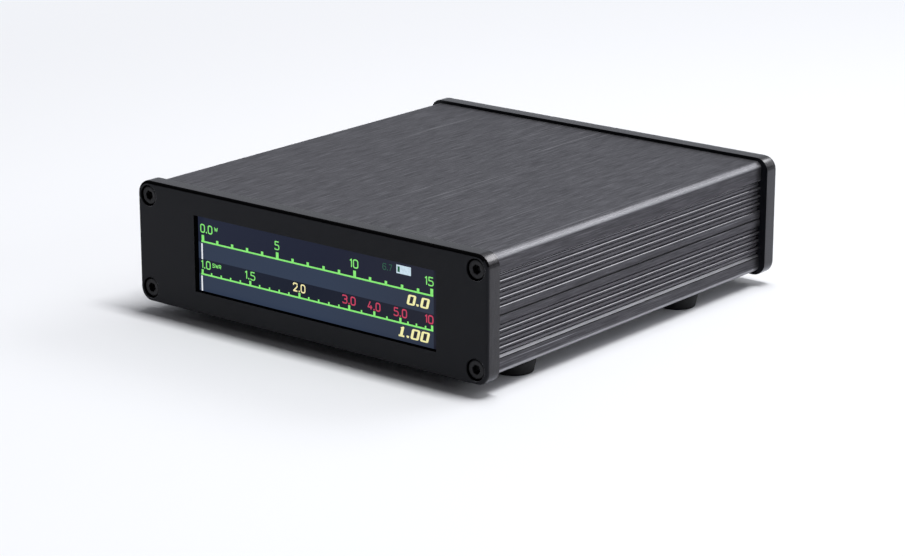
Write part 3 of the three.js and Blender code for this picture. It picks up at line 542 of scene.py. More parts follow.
def eased(piece, edge, smooth=35):
    """Breaks the piece's sharp edges and shades it smooth."""
    choose(piece)
    if edge:
        broken(piece, edge)
    bpy.ops.object.shade_smooth_by_angle(angle=math.radians(smooth))
    piece.data.materials.clear()


def joined(name, *pieces):
    """Joins the pieces into one."""
    choose(*pieces)
    bpy.ops.object.join()
    whole = bpy.context.object
    whole.name = name
    return whole


def copied(pattern, name, place, material, slot, *stands_for, body="case"):
    """A copy of the pattern at a place, as a finished piece that rides on the body."""
    piece = bpy.data.objects.new(name, pattern.data.copy())
    scene.collection.objects.link(piece)
    piece.data.transform(place)
    placed(piece, material, slot, *stands_for, body=body)


def at(x, y, z):
    """A shift to a place in millimetres."""
    return Matrix.Translation(Vector((x, y, z)) * mm)


to_front = Matrix.Rotation(math.radians(90), 4, "X")
to_rear = Matrix.Rotation(math.radians(-90), 4, "X")
front_face = -75.0
rear_face = 64.7
head_sunk = 0.4

blackened = speckled("black_oxide_steel", (34, 34, 36), 2400, (26, 26, 28), (46, 46, 48),
                     metallic=0.7, roughness=0.34, specular=0.4, detail=4, low=0.35, high=0.68,
                     dull=(0.30, 0.46), depth=0.006 * mm)

cap_screw = turned("cap_screw", [
    (0, 0), (2.35, 0), (2.56, -0.05), (2.70, -0.18), (2.75, -0.38), (2.75, -2.9), (2.65, -3.0),
    (1.28, -3.0), (1.28, -12.8), (1.05, -13.0), (0, -13.0)])
cut(cap_screw, prism(6, 1.443, -1.5, 0.5, math.radians(15)), prism(32, 1.18, -1.75, -1.4))
eased(cap_screw, 0.05 * mm)
screw_thread = helix("screw_thread", 1.26, 1.5, 0.5, -12.6, -3.4, 16)
eased(screw_thread, 0.0)
cap_screw = joined("cap_screw", screw_thread, cap_screw)
for corner, (side, level) in corners.items():
    for end, y, turn in (("front", front_face + head_sunk, to_front),
                         ("rear", rear_face - head_sunk, to_rear)):
        copied(cap_screw, f"{end}_cap_screw_{corner}",
               at(side * screw_x, y, centre_z + level * screw_z) @ turn,
               blackened, "black_screws", f"{end}_screw_{corner}")
bpy.data.objects.remove(cap_screw)


# Feet: four tapered rubber feet, each on a pan head screw that stands in a well in its sole. The
# screws are blackened steel. Both are turned, and the screws cut and given a thread.
rubber = speckled("foot_rubber", (22, 22, 24), 3000, (19, 19, 21), (30, 30, 32),
                  roughness=0.78, specular=0.25, low=0.35, high=0.65, dull=(0.68, 0.86),
                  depth=0.02 * mm)


def block(size, middle):
    """A block from its three sizes and its middle in millimetres."""
    bpy.ops.object.select_all(action="DESELECT")
    bpy.ops.mesh.primitive_cube_add(size=1, location=Vector(middle) * mm, scale=Vector(size) * mm)
    bpy.ops.object.transform_apply(location=True, rotation=True, scale=True)
    return bpy.context.object


def pan_screw(name, radius, length, head, height):
    """A pan head screw down from z = 0, head up, with a cross recess."""
    body = turned(name, [
        (0, height), (0.55 * head, 0.97 * height), (0.80 * head, 0.82 * height),
        (0.95 * head, 0.55 * height), (head, 0.25 * height), (head, 0), (0.84 * radius, 0),
        (0.84 * radius, 0.3 - length), (0.6 * radius, -length), (0, -length)], 36)
    arm, slot_width, deep = 1.9 * head / 2, 0.25 * head, 0.6 * height
    cut(body, block((arm, slot_width, 2 * deep), (0, 0, height)),
        block((slot_width, arm, 2 * deep), (0, 0, height)))
    eased(body, 0.03 * mm)
    thread = helix(f"{name}_thread", 0.83 * radius, radius, 0.33 * radius, -length + 0.3, -0.3, 12)
    eased(thread, 0.0)
    return joined(name, thread, body)


foot = turned("foot", [
    (2.9, 0.15), (3.05, 0), (5.10, 0), (5.32, 0.05), (5.48, 0.18), (5.56, 0.42), (5.72, 1.2),
    (6.40, 4.25), (6.38, 4.42), (6.28, 4.55), (1.7, 4.55), (1.7, 2.2), (2.9, 2.2), (2.9, 0.15)], 64)
eased(foot, 0.0)
foot_screw = pan_screw("foot_pan_screw", 1.5, 4.5, 2.6, 1.6)
upside_down = Matrix.Rotation(math.radians(180), 4, "X")
foot_x, foot_y, foot_well = 54.5, {"front": -50.05, "rear": 28.7}, 2.2
for end, y in foot_y.items():
    for side, x in (("left", -foot_x), ("right", foot_x)):
        copied(foot, f"rubber_foot_{end}_{side}", at(x, y, 0),
               rubber, "foot_rubber", f"foot_{end}_{side}")
        copied(foot_screw, f"foot_pan_screw_{end}_{side}", at(x, y, foot_well) @ upside_down,
               blackened, "black_screws", f"foot_{end}_{side}_screw")
bpy.data.objects.remove(foot)
bpy.data.objects.remove(foot_screw)


# Display: a colour cell behind the panel's window, lit from behind. Its bands are the cell's own
# material, and its scales, numbers and read-outs are thin lit marks on the cell's face. The numbers
# are strokes through (x, z, radius) points, with a radius where a corner is rounded.
cell, tree, surface = shader("lit_display", (3, 3, 5), 0.0, 0.3, 0.05)
cell_low, cell_height = centre_z - 13.8, 27.0
slate, navy, low_navy = (50, 61, 81), (29, 33, 51), (24, 29, 44)
height = above(tree, along(tree, "Z"), cell_low * mm, (cell_low + cell_height) * mm)
bands = shade(tree, height, (0.0, slate), (7.14 / cell_height, low_navy),
              (11.7 / cell_height, slate), (16.6 / cell_height, navy))
bands.node.color_ramp.interpolation = "CONSTANT"
top_left = calc(tree, "SUBTRACT", along(tree, "Z"), along(tree, "X"))
glow = spread(tree, top_left, 0.0, 0.3, 20 * mm, 80 * mm)
bands = mixed(tree, glow, bands, tinted(tree, glow, (42, 50, 66), (50, 58, 76), 0.0, 1.0))
toward_right = spread(tree, along(tree, "X"), 0.0, 0.4, 5 * mm, 44 * mm)
bands = mixed(tree, toward_right, bands, linear((46, 46, 54)))
margin = above(tree, along(tree, "X"), 44.7 * mm, 45.0 * mm)
fed(tree, surface, "BSDF", {"Emission Color": mixed(tree, margin, bands, linear((30, 31, 42))),
                            "Emission Strength": 1.0})
nodes["lcd_cell"].data.materials[0] = cell

glyphs = {
    "0": (0.66, [[(0, 0.5), (0, 1, 0.3), (0.66, 1, 0.3), (0.66, 0, 0.3), (0, 0, 0.3), (0, 0.5)]]),
    "1": (0.22, [[(0, 0.80), (0.22, 1, 0.02), (0.22, 0)]]),
    "2": (0.66, [[(0, 0.74), (0, 1, 0.3), (0.66, 1, 0.3), (0.66, 0.60, 0.2), (0, 0, 0.02),
                  (0.66, 0)]]),
    "3": (0.66, [[(0, 0.86), (0, 1, 0.14), (0.66, 1, 0.28), (0.66, 0.53, 0.24), (0.24, 0.53)],
                 [(0.24, 0.53), (0.66, 0.53, 0.24), (0.66, 0, 0.28), (0, 0, 0.14), (0, 0.14)]]),
    "4": (0.70, [[(0.38, 1), (0, 0.26, 0.02), (0.70, 0.26)], [(0.50, 0.52), (0.50, 0)]]),
    "5": (0.66, [[(0.62, 1), (0.04, 1, 0.02), (0.04, 0.58, 0.02), (0.66, 0.58, 0.28),
                  (0.66, 0, 0.3), (0, 0, 0.22), (0, 0.16)]]),
    "6": (0.66, [[(0.66, 0.84), (0.66, 1, 0.22), (0, 1, 0.3), (0, 0, 0.3), (0.66, 0, 0.3),
                  (0.66, 0.58, 0.26), (0, 0.58)]]),
    "7": (0.62, [[(0, 1), (0.62, 1, 0.02), (0.20, 0)]]),
    ".": (0.07, [[(0, 0), (0.07, 0), (0.07, 0.09), (0, 0.09), (0, 0)]]),
    "W": (0.90, [[(0, 1), (0.22, 0, 0.02), (0.45, 0.8, 0.02), (0.68, 0, 0.02), (0.90, 1)]]),
    "S": (0.60, [[(0.60, 0.86), (0.60, 1, 0.16), (0, 1, 0.22), (0, 0.52, 0.2), (0.60, 0.52, 0.2),
                  (0.60, 0, 0.22), (0, 0, 0.16), (0, 0.14)]]),
    "R": (0.62, [[(0, 0), (0, 1, 0.02), (0.62, 1, 0.24), (0.62, 0.48, 0.22), (0, 0.48)],
                 [(0.30, 0.48), (0.62, 0)]]),
    "zero": (0.76, [[(0, 0.5), (0, 1, 0.12), (0.76, 1, 0.12), (0.76, 0, 0.12), (0, 0, 0.12),
                     (0, 0.5)], [(0.11, 0.06), (0.11, 0.94)], [(0.65, 0.06), (0.65, 0.94)]]),
    "one": (0.62, [[(0.08, 0.84), (0.34, 1, 0.02), (0.34, 0)], [(0.20, 0.92), (0.20, 0)],
                   [(0, 0), (0.62, 0)]]),
    "point": (0.16, [[(0, 0.03), (0.16, 0.03), (0.16, 0.12), (0, 0.12), (0, 0.03)]]),
    "hollow": (0.76, [[(0.38, 0.25), (0.38, 0.75)]]),
    "no point": (0.16, []),
    "no one": (0.62, []),
}
glyph_gap = 0.30
mark_front = -73.13
mark_depth = 0.05


def rounded(points):
    """A line through the points with its corners rounded."""
    line = []
    for i, (x, z, *radius) in enumerate(points):
        here = Vector((x, z))
        if not radius:
            line.append(here)
            continue
        before, after = Vector(points[i - 1][:2]) - here, Vector(points[i + 1][:2]) - here
        reach = min(radius[0], 0.5 * before.length + 0.001, 0.5 * after.length + 0.001)
        start, end = here + before.normalized() * reach, here + after.normalized() * reach
        for step in range(5):
            share = step / 4
            rest = 1 - share
            line.append(rest ** 2 * start + 2 * share * rest * here + share ** 2 * end)
    return line


def lettered(words, left, right, low, high, half, slant=0.0):
    """The words' strokes as lines of (x, z) in millimetres, fitted to a frame on the display."""
    lines, reached = [], 0.0
    for letter in words:
        width, strokes = glyphs[letter]
        for stroke in strokes:
            lines.append([Vector((reached + p.x, p.y)) for p in rounded(stroke)])
        reached += width + glyph_gap
    reached -= glyph_gap
    wide, tall = right - left - 2 * half - slant * (high - low), high - low - 2 * half
    return [[(left + half + p.x * wide / reached + slant * p.y * tall, low + half + p.y * tall)
             for p in line] for line in lines]


def written(name, half, *frames, slant=0.0, inset=None):
    """Flat strokes on the display's face, from (words, left, right, low, high) in millimetres,
    half a stroke wide to each side and inset from the frame by as much."""
    curve = bpy.data.curves.new(name, "CURVE")
    curve.dimensions = "3D"
    curve.bevel_depth = half * mm
    curve.bevel_resolution = 1
    curve.use_fill_caps = True
    for frame_of in frames:
        for line in lettered(*frame_of, inset or half, slant):
            spline = curve.splines.new("POLY")
            spline.points.add(len(line) - 1)
            for point, (x, z) in zip(spline.points, line):
                point.co = (x * mm, 0, (centre_z + z) * mm, 1)
    piece = bpy.data.objects.new(name, curve)
    scene.collection.objects.link(piece)
    choose(piece)
    bpy.ops.object.convert(target="MESH")
    piece = bpy.context.object
    piece.data.transform(
        at(0, mark_front, 0) @ Matrix.Diagonal((1, mark_depth / 2 / half, 1, 1)))
    return piece


def marks(rectangles):
    """Thin blocks on the display's face from (left, right, low, high) in millimetres."""
    return [block((right - left, mark_depth, high - low),
                  ((left + right) / 2, mark_front, centre_z + (low + high) / 2))
            for left, right, low, high in rectangles]


def shown(name, color, *pieces):
    """Joins the marks of one colour into a lit piece on the display, faintly uneven."""
    piece = joined(name, *pieces)
    light, tree, surface = shader(f"{name}_light", (6, 6, 8), 0.0, 0.4, 0.1)
    weak = [0.94 * value for value in color]
    fed(tree, surface, "BSDF", {
        "Emission Color": tinted(tree, grain(tree, 1500, 1), weak, color, 0.35, 0.6),
        "Emission Strength": 1.0})
    placed(piece, light, "display_glass")


green = (140, 240, 122)
power_major = (-41.0, -12.1, 16.7, 44.2)
power_minor = (-35.35, -29.5, -23.7, -17.9, -6.3, -0.6, 5.3, 11.0, 22.3, 28.0, 33.75, 39.4)
ratio_major = (-41.45, -22.7, -3.9, 14.6, 23.75, 33.1, 44.3)
ratio_minor = (-37.9, -34.1, -30.4, -26.6, -19.1, -15.3, -11.6, -7.9, -0.4, 3.3, 7.1, 10.8, 19.1,
               28.3, 35.8, 38.8, 42.0)
tick_rows = ((power_major, 0.48, 3.3, 5.1), (power_minor, 0.42, 3.3, 4.3),
             (ratio_major, 0.36, -6.5, -5.25), (ratio_minor, 0.24, -6.5, -5.8))
ticks = [(x - half, x + half, low, high) for places, half, low, high in tick_rows for x in places]
shown("scale_lines", green, *marks(
    [(-41.6, 44.7, 2.93, 3.40), (-42.0, 44.7, -6.89, -6.42)] + ticks))
shown("green_numbers", green,
      written("green_digits", 0.19, ("0.0", -41.95, -37.15, 5.75, 8.4),
              ("5", -13.1, -11.2, 5.75, 8.4), ("10", 14.9, 18.1, 5.75, 8.4),
              ("15", 41.7, 44.9, 5.75, 8.4), ("1.0", -42.0, -38.2, -5.0, -2.4),
              ("1.5", -24.75, -20.7, -5.0, -2.4)),
      written("units", 0.11, ("W", -36.5, -35.0, 6.95, 8.3), ("SWR", -37.5, -34.0, -4.0, -2.75)))
shown("cream_number", (250, 240, 178),
      written("cream_digits", 0.20, ("2.0", -6.3, -1.6, -5.1, -2.5)))
shown("red_numbers", (202, 68, 98),
      written("red_digits", 0.20, ("3.0", 12.1, 17.0, -5.1, -2.5), ("4.0", 21.3, 26.0, -5.1, -2.5),
              ("5.0", 30.7, 35.5, -5.1, -2.5), ("10", 41.7, 44.8, -4.95, -2.4)))
power_frame, ratio_frame = (35.3, 43.75, -0.97, 2.06), (32.2, 43.75, -10.6, -7.5)
read_out_half, read_out_slant = 0.27, 0.26
shown("read_outs", (250, 245, 178),
      written("read_out_digits", read_out_half, (("zero", "point", "zero"), *power_frame),
              (("one", "point", "zero", "zero"), *ratio_frame), slant=read_out_slant))
shown("read_out_hollows", (42, 36, 34),
      written("hollow_strokes", 0.36, (("hollow", "no point", "hollow"), *power_frame),
              (("no one", "no point", "hollow", "hollow"), *ratio_frame),
              slant=read_out_slant, inset=read_out_half))
shown("level_bars", (240, 244, 250),
      *marks([(-41.7, -41.2, -2.2, 2.55), (-42.0, -41.5, -12.1, -7.2)]))
shown("cell_sign", (205, 226, 240), *marks([
    (33.0, 36.9, 7.3, 9.7), (31.8, 32.2, 7.3, 9.7), (31.8, 36.9, 9.3, 9.7),
    (31.8, 36.9, 7.3, 7.7)]))
shown("cell_level", (30, 92, 62), *marks([(32.2, 33.0, 7.7, 9.3)]))
shown("cell_volts", (46, 88, 72), written("cell_digits", 0.14, ("6.7", 26.8, 30.3, 7.3, 9.3)))


# Light guide and tray: the acrylic guide that lights the cell from behind, in a tray pressed from
# thin steel. Both are the solids with broken edges.
acrylic = speckled("lit_acrylic", (216, 224, 230), 1400, (204, 213, 220), (228, 234, 238),
                   roughness=0.16, detail=1, low=0.35, high=0.6, dull=(0.10, 0.24))
dressed("lcd_backlight", "light_guide", acrylic, "display_light", 30, 0.1 * mm)

pressed = speckled("pressed_steel", (168, 168, 172), (70, 3000, 3000), (150, 150, 154),
                   (190, 190, 194), metallic=1.0, roughness=0.34, dull=(0.26, 0.42))
dressed("lcd_tray", "light_tray", pressed, "tray_steel", 30, 0.05 * mm)


# Display board: a glass fibre board on the panel's back, with four zinc plated pan head screws. The
# board is the solid, green on its faces and bare resin on its sawn edges.
laminate, tree, surface = shader("solder_mask_board", (22, 84, 48), 0.0, 0.32)
weave = grain(tree, 1900, 2)
mask = tinted(tree, weave, (16, 72, 40), (28, 98, 58))
resin = tinted(tree, weave, (132, 128, 84), (164, 158, 110))
flat = calc(tree, "MAXIMUM", facing(tree, "Y"), facing(tree, "Z"))
fed(tree, surface, "BSDF", {"Base Color": mixed(tree, above(tree, flat, 0.4, 0.6), resin, mask),
                            "Roughness": spread(tree, weave, 0.26, 0.40)})
relief(tree, surface, weave, 0.01 * mm)
dressed("display_board", "display_circuit_board", laminate, "board", 30, 0.06 * mm)


def centre_of(node):
    """The middle of a solid's box, in millimetres."""
    low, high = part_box(node)
    return [(a + b) / 2 / mm for a, b in zip(low, high)]


plated = speckled("zinc_plate", (176, 178, 184), 1800, (158, 160, 168), (196, 197, 200),
                  metallic=1.0, roughness=0.3, dull=(0.22, 0.40))
board_screw = pan_screw("board_pan_screw", 1.25, 4.8, 2.25, 1.7)
board_back = -68.3
for corner in corners:
    x, _, z = centre_of(f"display_screw_{corner}")
    copied(board_screw, f"display_pan_screw_{corner}", at(x, board_back, z) @ to_rear,
           plated, "steel_screws", f"display_screw_{corner}")
bpy.data.objects.remove(board_screw)


# Ribbon and its connector: a flat white cable with tinned conductors, bent down from the display
# board into a white nylon connector on the main board. Both are the solids, the conductors stripes.
flat_cable, tree, surface = shader("flat_cable", (214, 214, 206), 0.0, 0.42, 0.4)
lane_width = 0.8 * mm
lane = calc(tree, "FRACT", calc(tree, "DIVIDE", along(tree, "X"), lane_width))
conductor = above(tree, calc(tree, "PINGPONG", lane, 0.5), 0.24, 0.28)
weave = grain(tree, 900, 2)
film = tinted(tree, weave, (206, 206, 198), (226, 226, 220))
tin = tinted(tree, weave, (158, 160, 166), (178, 180, 186))
tree.links.new(mixed(tree, conductor, film, tin), surface.inputs["Base Color"])
dressed("display_ribbon", "display_flat_cable", flat_cable, "ribbon", 60)

nylon = speckled("white_nylon", (226, 222, 210), 700, (216, 212, 200), (234, 231, 221),
                 roughness=0.46, specular=0.4, dull=(0.40, 0.54), depth=0.01 * mm)
dressed("ribbon_connector", "flat_cable_connector", nylon, "white_plastic", 30, 0.15 * mm)


# Main board: the same glass fibre board, in the slots of the lower half. It is the solid with
# broken edges.
dressed("main_board", "main_circuit_board", laminate, "board", 30, 0.06 * mm)


# Battery and holder: a steel cell in blue shrink wrap, turned, with bare ends, in a holder moulded
# in black.
moulded = speckled("moulded_black", (26, 26, 28), 2600, (21, 21, 23), (33, 33, 35),
                   roughness=0.48, specular=0.4, dull=(0.42, 0.58), depth=0.015 * mm)
dressed("battery_holder", "cell_holder", moulded, "black_plastic", 40, 0.2 * mm)

wrap, tree, surface = shader("cell_shrink_wrap", (34, 80, 156), 0.0, 0.28)
crease = grain(tree, (60, 800, 800))
blue = tinted(tree, crease, (28, 70, 142), (44, 92, 172))
steel = tinted(tree, crease, (150, 150, 152), (180, 180, 182))
ends = above(tree, facing(tree, "X"), 0.80, 0.86)
fed(tree, surface, "BSDF", {"Base Color": mixed(tree, ends, blue, steel), "Metallic": ends})
battery = turned("battery", [
    (0, 0), (8.2, 0), (8.5, 0.12), (8.9, 0.05), (9.12, 0.22), (9.2, 0.7), (9.2, 64.2), (9.1, 64.7),
    (8.8, 65.0), (7.6, 65.0), (7.4, 64.7), (3.2, 64.7), (2.8, 65.0), (2.8, 65.7), (2.5, 66.0),
    (0, 66.0)], 64)
eased(battery, 0.0, 40)
battery_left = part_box("battery_cell")[0][0] / mm
_, battery_y, battery_z = centre_of("battery_cell")
to_right = Matrix.Rotation(math.radians(90), 4, "Y")
copied(battery, "wrapped_cell", at(battery_left, battery_y, battery_z) @ to_right,
       wrap, "cell_wrap", "battery_cell")
bpy.data.objects.remove(battery)


# Radio sockets: two threaded sockets of nickel plated brass, screwed on from outside with their
# flanges inside. Each holds a white insulator and a silver plated contact with four spring slots.
nickel = speckled("nickel_plate", (190, 187, 180), (500, 5200, 500), (174, 171, 165),
                  (206, 203, 196), metallic=1.0, roughness=0.22, dull=(0.16, 0.30))
socket_shell = turned("socket_shell", [
    (6.2, 0), (6.2, 15.1), (6.5, 15.4), (7.1, 15.4), (7.4, 15.1), (7.4, 6.3), (7.9, 5.9),
    (7.95, 5.7), (7.95, -0.9), (6.2, -0.9), (6.2, 0)], 72)
flange = block((25.4, 25.4, 1.8), (0, 0, -0.9))
choose(flange)
weights = flange.data.attributes.new("bevel_weight_edge", "FLOAT", "EDGE")
for edge in flange.data.edges:
    start, end = [flange.data.vertices[i].co.z for i in edge.vertices]
    weights.data[edge.index].value = float(abs(start - end) > mm)
rounding = flange.modifiers.new("corners", "BEVEL")
rounding.width = 1.5 * mm
rounding.segments = 6
rounding.limit_method = "WEIGHT"
bpy.ops.object.modifier_apply(modifier="corners")
cut(flange, prism(64, 5.15, -3, 1))
flange_screw_offset = 9.1
for x in (-flange_screw_offset, flange_screw_offset):
    for y in (-flange_screw_offset, flange_screw_offset):
        hole = prism(24, 1.6, -3, 1)
        hole.data.transform(at(x, y, 0))
        cut(flange, hole)
cut(socket_shell, prism(64, 6.2, -2, 0.0))
for turn in (0, 90):
    notch = block((20, 1.5, 1.6), (0, 0, 15.4))
    notch.data.transform(Matrix.Rotation(math.radians(turn), 4, "Z"))
    cut(socket_shell, notch)
eased(flange, 0.1 * mm)
eased(socket_shell, 0.06 * mm)
socket_thread = helix("socket_thread", 7.38, 7.93, 1.058, 6.4, 15.2, 60)
eased(socket_thread, 0.0)
socket_shell = joined("socket_shell", socket_thread, flange, socket_shell)

fluoro = speckled("white_insulator", (228, 226, 218), 900, (218, 216, 208), (236, 234, 228),
                  roughness=0.4, specular=0.4, dull=(0.34, 0.48))
insulator = turned("insulator", [
    (2.45, -6.8), (5.0, -6.8), (5.0, 0.15), (6.05, 0.15), (6.05, 9.15), (5.9, 9.4), (4.4, 9.4),
    (4.1, 9.2), (3.4, 9.2), (3.1, 9.4), (2.55, 9.4), (2.45, 9.3), (2.45, -6.8)], 64)
eased(insulator, 0.04 * mm)

silver = speckled("silver_plate", (208, 205, 198), 700, (186, 180, 168), (220, 218, 212),
                  metallic=1.0, roughness=0.2, detail=4, dull=(0.14, 0.32))
contact = turned("contact", [
    (0, -14), (1.9, -14), (1.95, -13.9), (1.95, -0.2), (2.08, 0), (2.18, 0), (2.3, -0.12),
    (2.3, -16.5), (1.9, -16.5), (1.9, -21.9), (1.8, -22), (1.3, -22), (1.3, -18.5), (0, -18.3)], 40)
cut(contact, block((6, 0.5, 6), (0, 0, -2)), block((0.5, 6, 6), (0, 0, -2)))
eased(contact, 0.03 * mm)

flange_screw = pan_screw("flange_pan_screw", 1.5, 9.0, 2.8, 2.0)
socket_x, case_rear, contact_rim = 38, 59.6, 69
for socket, x in (("radio", -socket_x), ("antenna", socket_x)):
    for pattern, name, y, material, slot, node in (
            (socket_shell, "threaded_socket", case_rear, nickel, "socket_nickel", "socket"),
            (insulator, "socket_insulator", case_rear, fluoro, "white_plastic", "insulator"),
            (contact, "centre_contact", contact_rim, silver, "contact_silver", "contact")):
        copied(pattern, f"{socket}_{name}", at(x, y, centre_z) @ to_rear,
               material, slot, f"{socket}_{node}")
    for corner, (side, level) in corners.items():
        copied(flange_screw, f"{socket}_pan_screw_{corner}",
               at(x + side * flange_screw_offset, rear_face, centre_z + level * flange_screw_offset)
               @ to_rear, blackened, "black_screws", f"{socket}_screw_{corner}")
for pattern in (socket_shell, insulator, contact, flange_screw):
    bpy.data.objects.remove(pattern)


# Through line and ring cores: one bare copper rod bent from contact to contact, through the two
# turned ferrite rings of the coupler, which stand on the main board.
def bent(name, radius, knots, resolution=12):
    """A round wire along (handle before, place, handle after) knots in millimetres."""
    bpy.ops.object.select_all(action="DESELECT")
    bpy.ops.curve.primitive_bezier_curve_add(radius=mm)
    wire = bpy.context.object
    wire.name = name
    if len(knots) > 2:
        bpy.ops.object.mode_set(mode="EDIT")
        bpy.ops.curve.select_all(action="SELECT")
        bpy.ops.curve.subdivide(number_cuts=len(knots) - 2)
        bpy.ops.object.mode_set(mode="OBJECT")
    for knot, places in zip(wire.data.splines[0].bezier_points, knots):
        knot.handle_left_type = knot.handle_right_type = "FREE"
        knot.handle_left, knot.co, knot.handle_right = [Vector(p) * mm for p in places]
    wire.data.resolution_u = resolution
    wire.data.bevel_depth = radius * mm
    wire.data.bevel_resolution = 6
    wire.data.use_fill_caps = True
    bpy.ops.object.convert(target="MESH")
    bpy.ops.object.mode_set(mode="EDIT")
    weld()
    bpy.ops.object.shade_smooth_by_angle(angle=math.radians(50))
    return bpy.context.object


copper = speckled("bare_copper", (196, 122, 84), 500, (176, 100, 66), (212, 140, 100),
                  metallic=1.0, roughness=0.3, detail=4, dull=(0.22, 0.40))
low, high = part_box("through_line")
rod, bend = 1.1, 4.0
line_y, line_end = low[1] / mm + rod, high[1] / mm
left_half = [
    ((-socket_x, line_end), (-socket_x, line_end), (-socket_x, line_end - 1)),
    ((-socket_x, line_y + bend + 1), (-socket_x, line_y + bend), (-socket_x, line_y + bend / 3)),
    ((-socket_x + bend / 3, line_y), (-socket_x + bend, line_y), (-socket_x + bend + 1, line_y))]
right_half = [[(-x, y) for x, y in reversed(knot)] for knot in reversed(left_half)]
line = bent("through_line_rod", rod, [
    [(x, y, centre_z) for x, y in knot] for knot in left_half + right_half])
placed(line, copper, "line_copper", "through_line")

ferrite = speckled("ferrite", (52, 52, 55), 1600, (40, 40, 43), (66, 66, 69),
                   roughness=0.62, specular=0.35, detail=4, dull=(0.5, 0.74), depth=0.02 * mm)
ring = turned("ring", [
    (3.55, -1.8), (3.72, -2.22), (4.15, -2.4), (5.75, -2.4), (6.18, -2.22), (6.35, -1.8),
    (6.35, 1.8), (6.18, 2.22), (5.75, 2.4), (4.15, 2.4), (3.72, 2.22), (3.55, 1.8),
    (3.55, -1.8)], 64)
eased(ring, 0.0, 60)
for core in ("forward", "reflected"):
    copied(ring, f"{core}_ring", at(*centre_of(f"{core}_core")) @ to_right,
           ferrite, "core_ferrite", f"{core}_core")
bpy.data.objects.remove(ring)


# Power switch: a snap-in housing with a black rocker, printed I and O in white, on two brass
# terminals whose red leads run down to the main board. Solids, but for the signs and bent leads.
dressed("switch_housing", "switch_body", moulded, "black_plastic", 40, 0.2 * mm)

key = speckled("rocker_gloss", (24, 24, 26), 1200, (20, 20, 22), (30, 30, 32),
               roughness=0.4, specular=0.35, dull=(0.38, 0.46))
dressed("switch_rocker", "rocker_key", key, "rocker_plastic", 40, 0.25 * mm, "rocker")

print_white = speckled("printed_white", (222, 222, 218), 3000, (204, 204, 200), (230, 230, 227),
                       specular=0.3, high=0.6)
switch_x = 11.0055
rest_tilt = Matrix.Rotation(math.radians(10), 4, "X")
pivot = at(switch_x, 64.2, centre_z) @ rest_tilt
valley, tip, tip_angle, sign_reach = 2.2, 5.5, math.radians(35), 2.5
slope = math.atan2(tip * math.sin(tip_angle) - valley, tip * math.cos(tip_angle))
on_sign = block((0.42, 0.06, 2.0), (0, 0, 0))
eased(on_sign, 0.01 * mm)
off_sign = turned("off_sign", [(0.72, -0.03), (1.06, -0.03), (1.06, 0.03), (0.72, 0.03),
                               (0.72, -0.03)], 40)
off_sign.data.transform(to_rear)
eased(off_sign, 0.0)
for name, sign, way in (("on", on_sign, 1), ("off", off_sign, -1)):
    face_place = (0, valley + sign_reach * math.sin(slope), way * sign_reach * math.cos(slope))
    copied(sign, f"rocker_{name}_sign",
           pivot @ at(*face_place) @ Matrix.Rotation(-way * slope, 4, "X"),
           print_white, "rocker_plastic", body="rocker")
    bpy.data.objects.remove(sign)

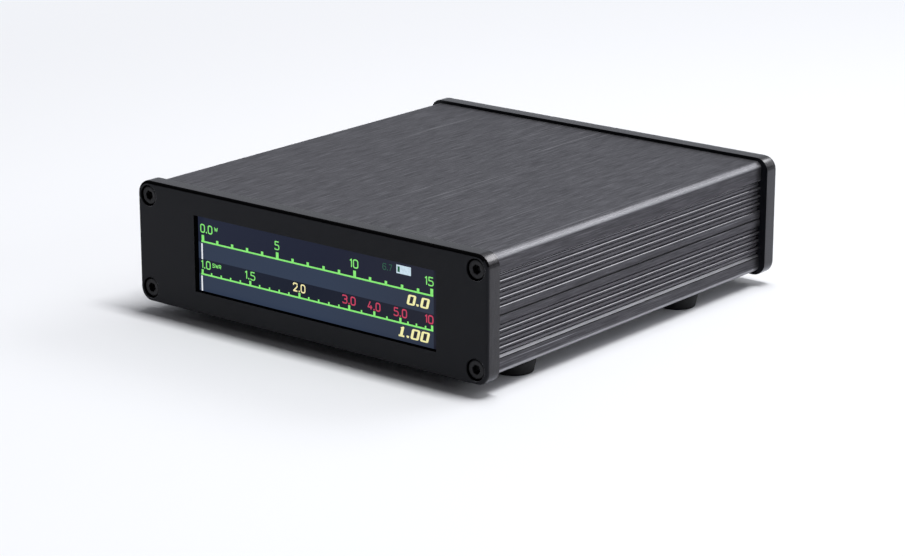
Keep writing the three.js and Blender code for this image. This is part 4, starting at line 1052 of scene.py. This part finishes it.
brass = speckled("bare_brass", (190, 156, 88), (300, 2600, 2600), (170, 134, 70), (206, 174, 106),
                 metallic=1.0, roughness=0.3, dull=(0.22, 0.40))
sleeve = speckled("red_insulation", (160, 28, 28), (400, 400, 1800), (146, 22, 24), (178, 38, 36),
                  roughness=0.42, specular=0.4, detail=2, dull=(0.36, 0.50))
blade_y, lead_y, board_top = 48.2, 43.7, 15.1
for number, side in ((1, 1), (2, -1)):
    dressed(f"switch_terminal_{number}", f"switch_blade_{number}", brass, "terminal_brass",
            30, 0.08 * mm)
    blade_z, lead_x = centre_z + 3.5 * side, switch_x - 2.5 * side
    start, end = (switch_x, blade_y, blade_z), (lead_x, lead_y, board_top)
    lead = bent(f"switch_wire_{number}", 0.7, [
        (start, start, (switch_x, lead_y, blade_z)), ((lead_x, lead_y, blade_z), end, end)], 24)
    placed(lead, sleeve, "lead_insulation", f"switch_lead_{number}")


# Charging socket and lamp: a deep drawn steel shell round a black tongue with gold contacts, both
# the solids with broken edges, and a turned clear lens beside them.
dressed("charge_socket", "charging_shell", pressed, "tray_steel", 40, 0.06 * mm)

tongue, tree, surface = shader("contact_tongue", (26, 26, 28), 0.0, 0.4, 0.4)
contact_pitch = 0.5 * mm
offset = calc(tree, "SUBTRACT", along(tree, "X"), centre_of("charge_tongue")[0] * mm)
lane = calc(tree, "PINGPONG", calc(tree, "DIVIDE", offset, contact_pitch), 0.5)
strip = calc(tree, "MULTIPLY", below(tree, lane, 0.24, 0.28),
             below(tree, calc(tree, "ABSOLUTE", offset), 2.9 * mm, 2.95 * mm))
strip = calc(tree, "MULTIPLY", strip, above(tree, facing(tree, "Z"), 0.7, 0.9))
bed = tinted(tree, grain(tree, 2600, 2), (21, 21, 23), (33, 33, 35))
gold = tinted(tree, grain(tree, 1200, 2), (206, 168, 92), (226, 190, 116))
fed(tree, surface, "BSDF", {"Base Color": mixed(tree, strip, bed, gold), "Metallic": strip})
dressed("charge_tongue", "charging_tongue", tongue, "black_plastic", 30, 0.08 * mm)

lens = speckled("clear_lens", (196, 214, 200), 900, (184, 204, 190), (210, 224, 212),
                roughness=0.12, detail=2, dull=(0.08, 0.18))
lamp_radius = 1.5
lamp = turned("lamp", [(0, -7.3), (1.42, -7.3), (lamp_radius, -7.2)] + [
    (lamp_radius * math.cos(math.radians(a)), lamp_radius * math.sin(math.radians(a)) - lamp_radius)
    for a in range(0, 90, 10)] + [(0, 0)], 48)
eased(lamp, 0.0, 50)
lamp_x, _, lamp_z = centre_of("charge_light")
lamp_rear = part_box("charge_light")[1][1] / mm
copied(lamp, "charging_lamp", at(lamp_x, lamp_rear, lamp_z) @ to_rear,
       lens, "lamp_plastic", "charge_light")
bpy.data.objects.remove(lamp)


low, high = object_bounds()
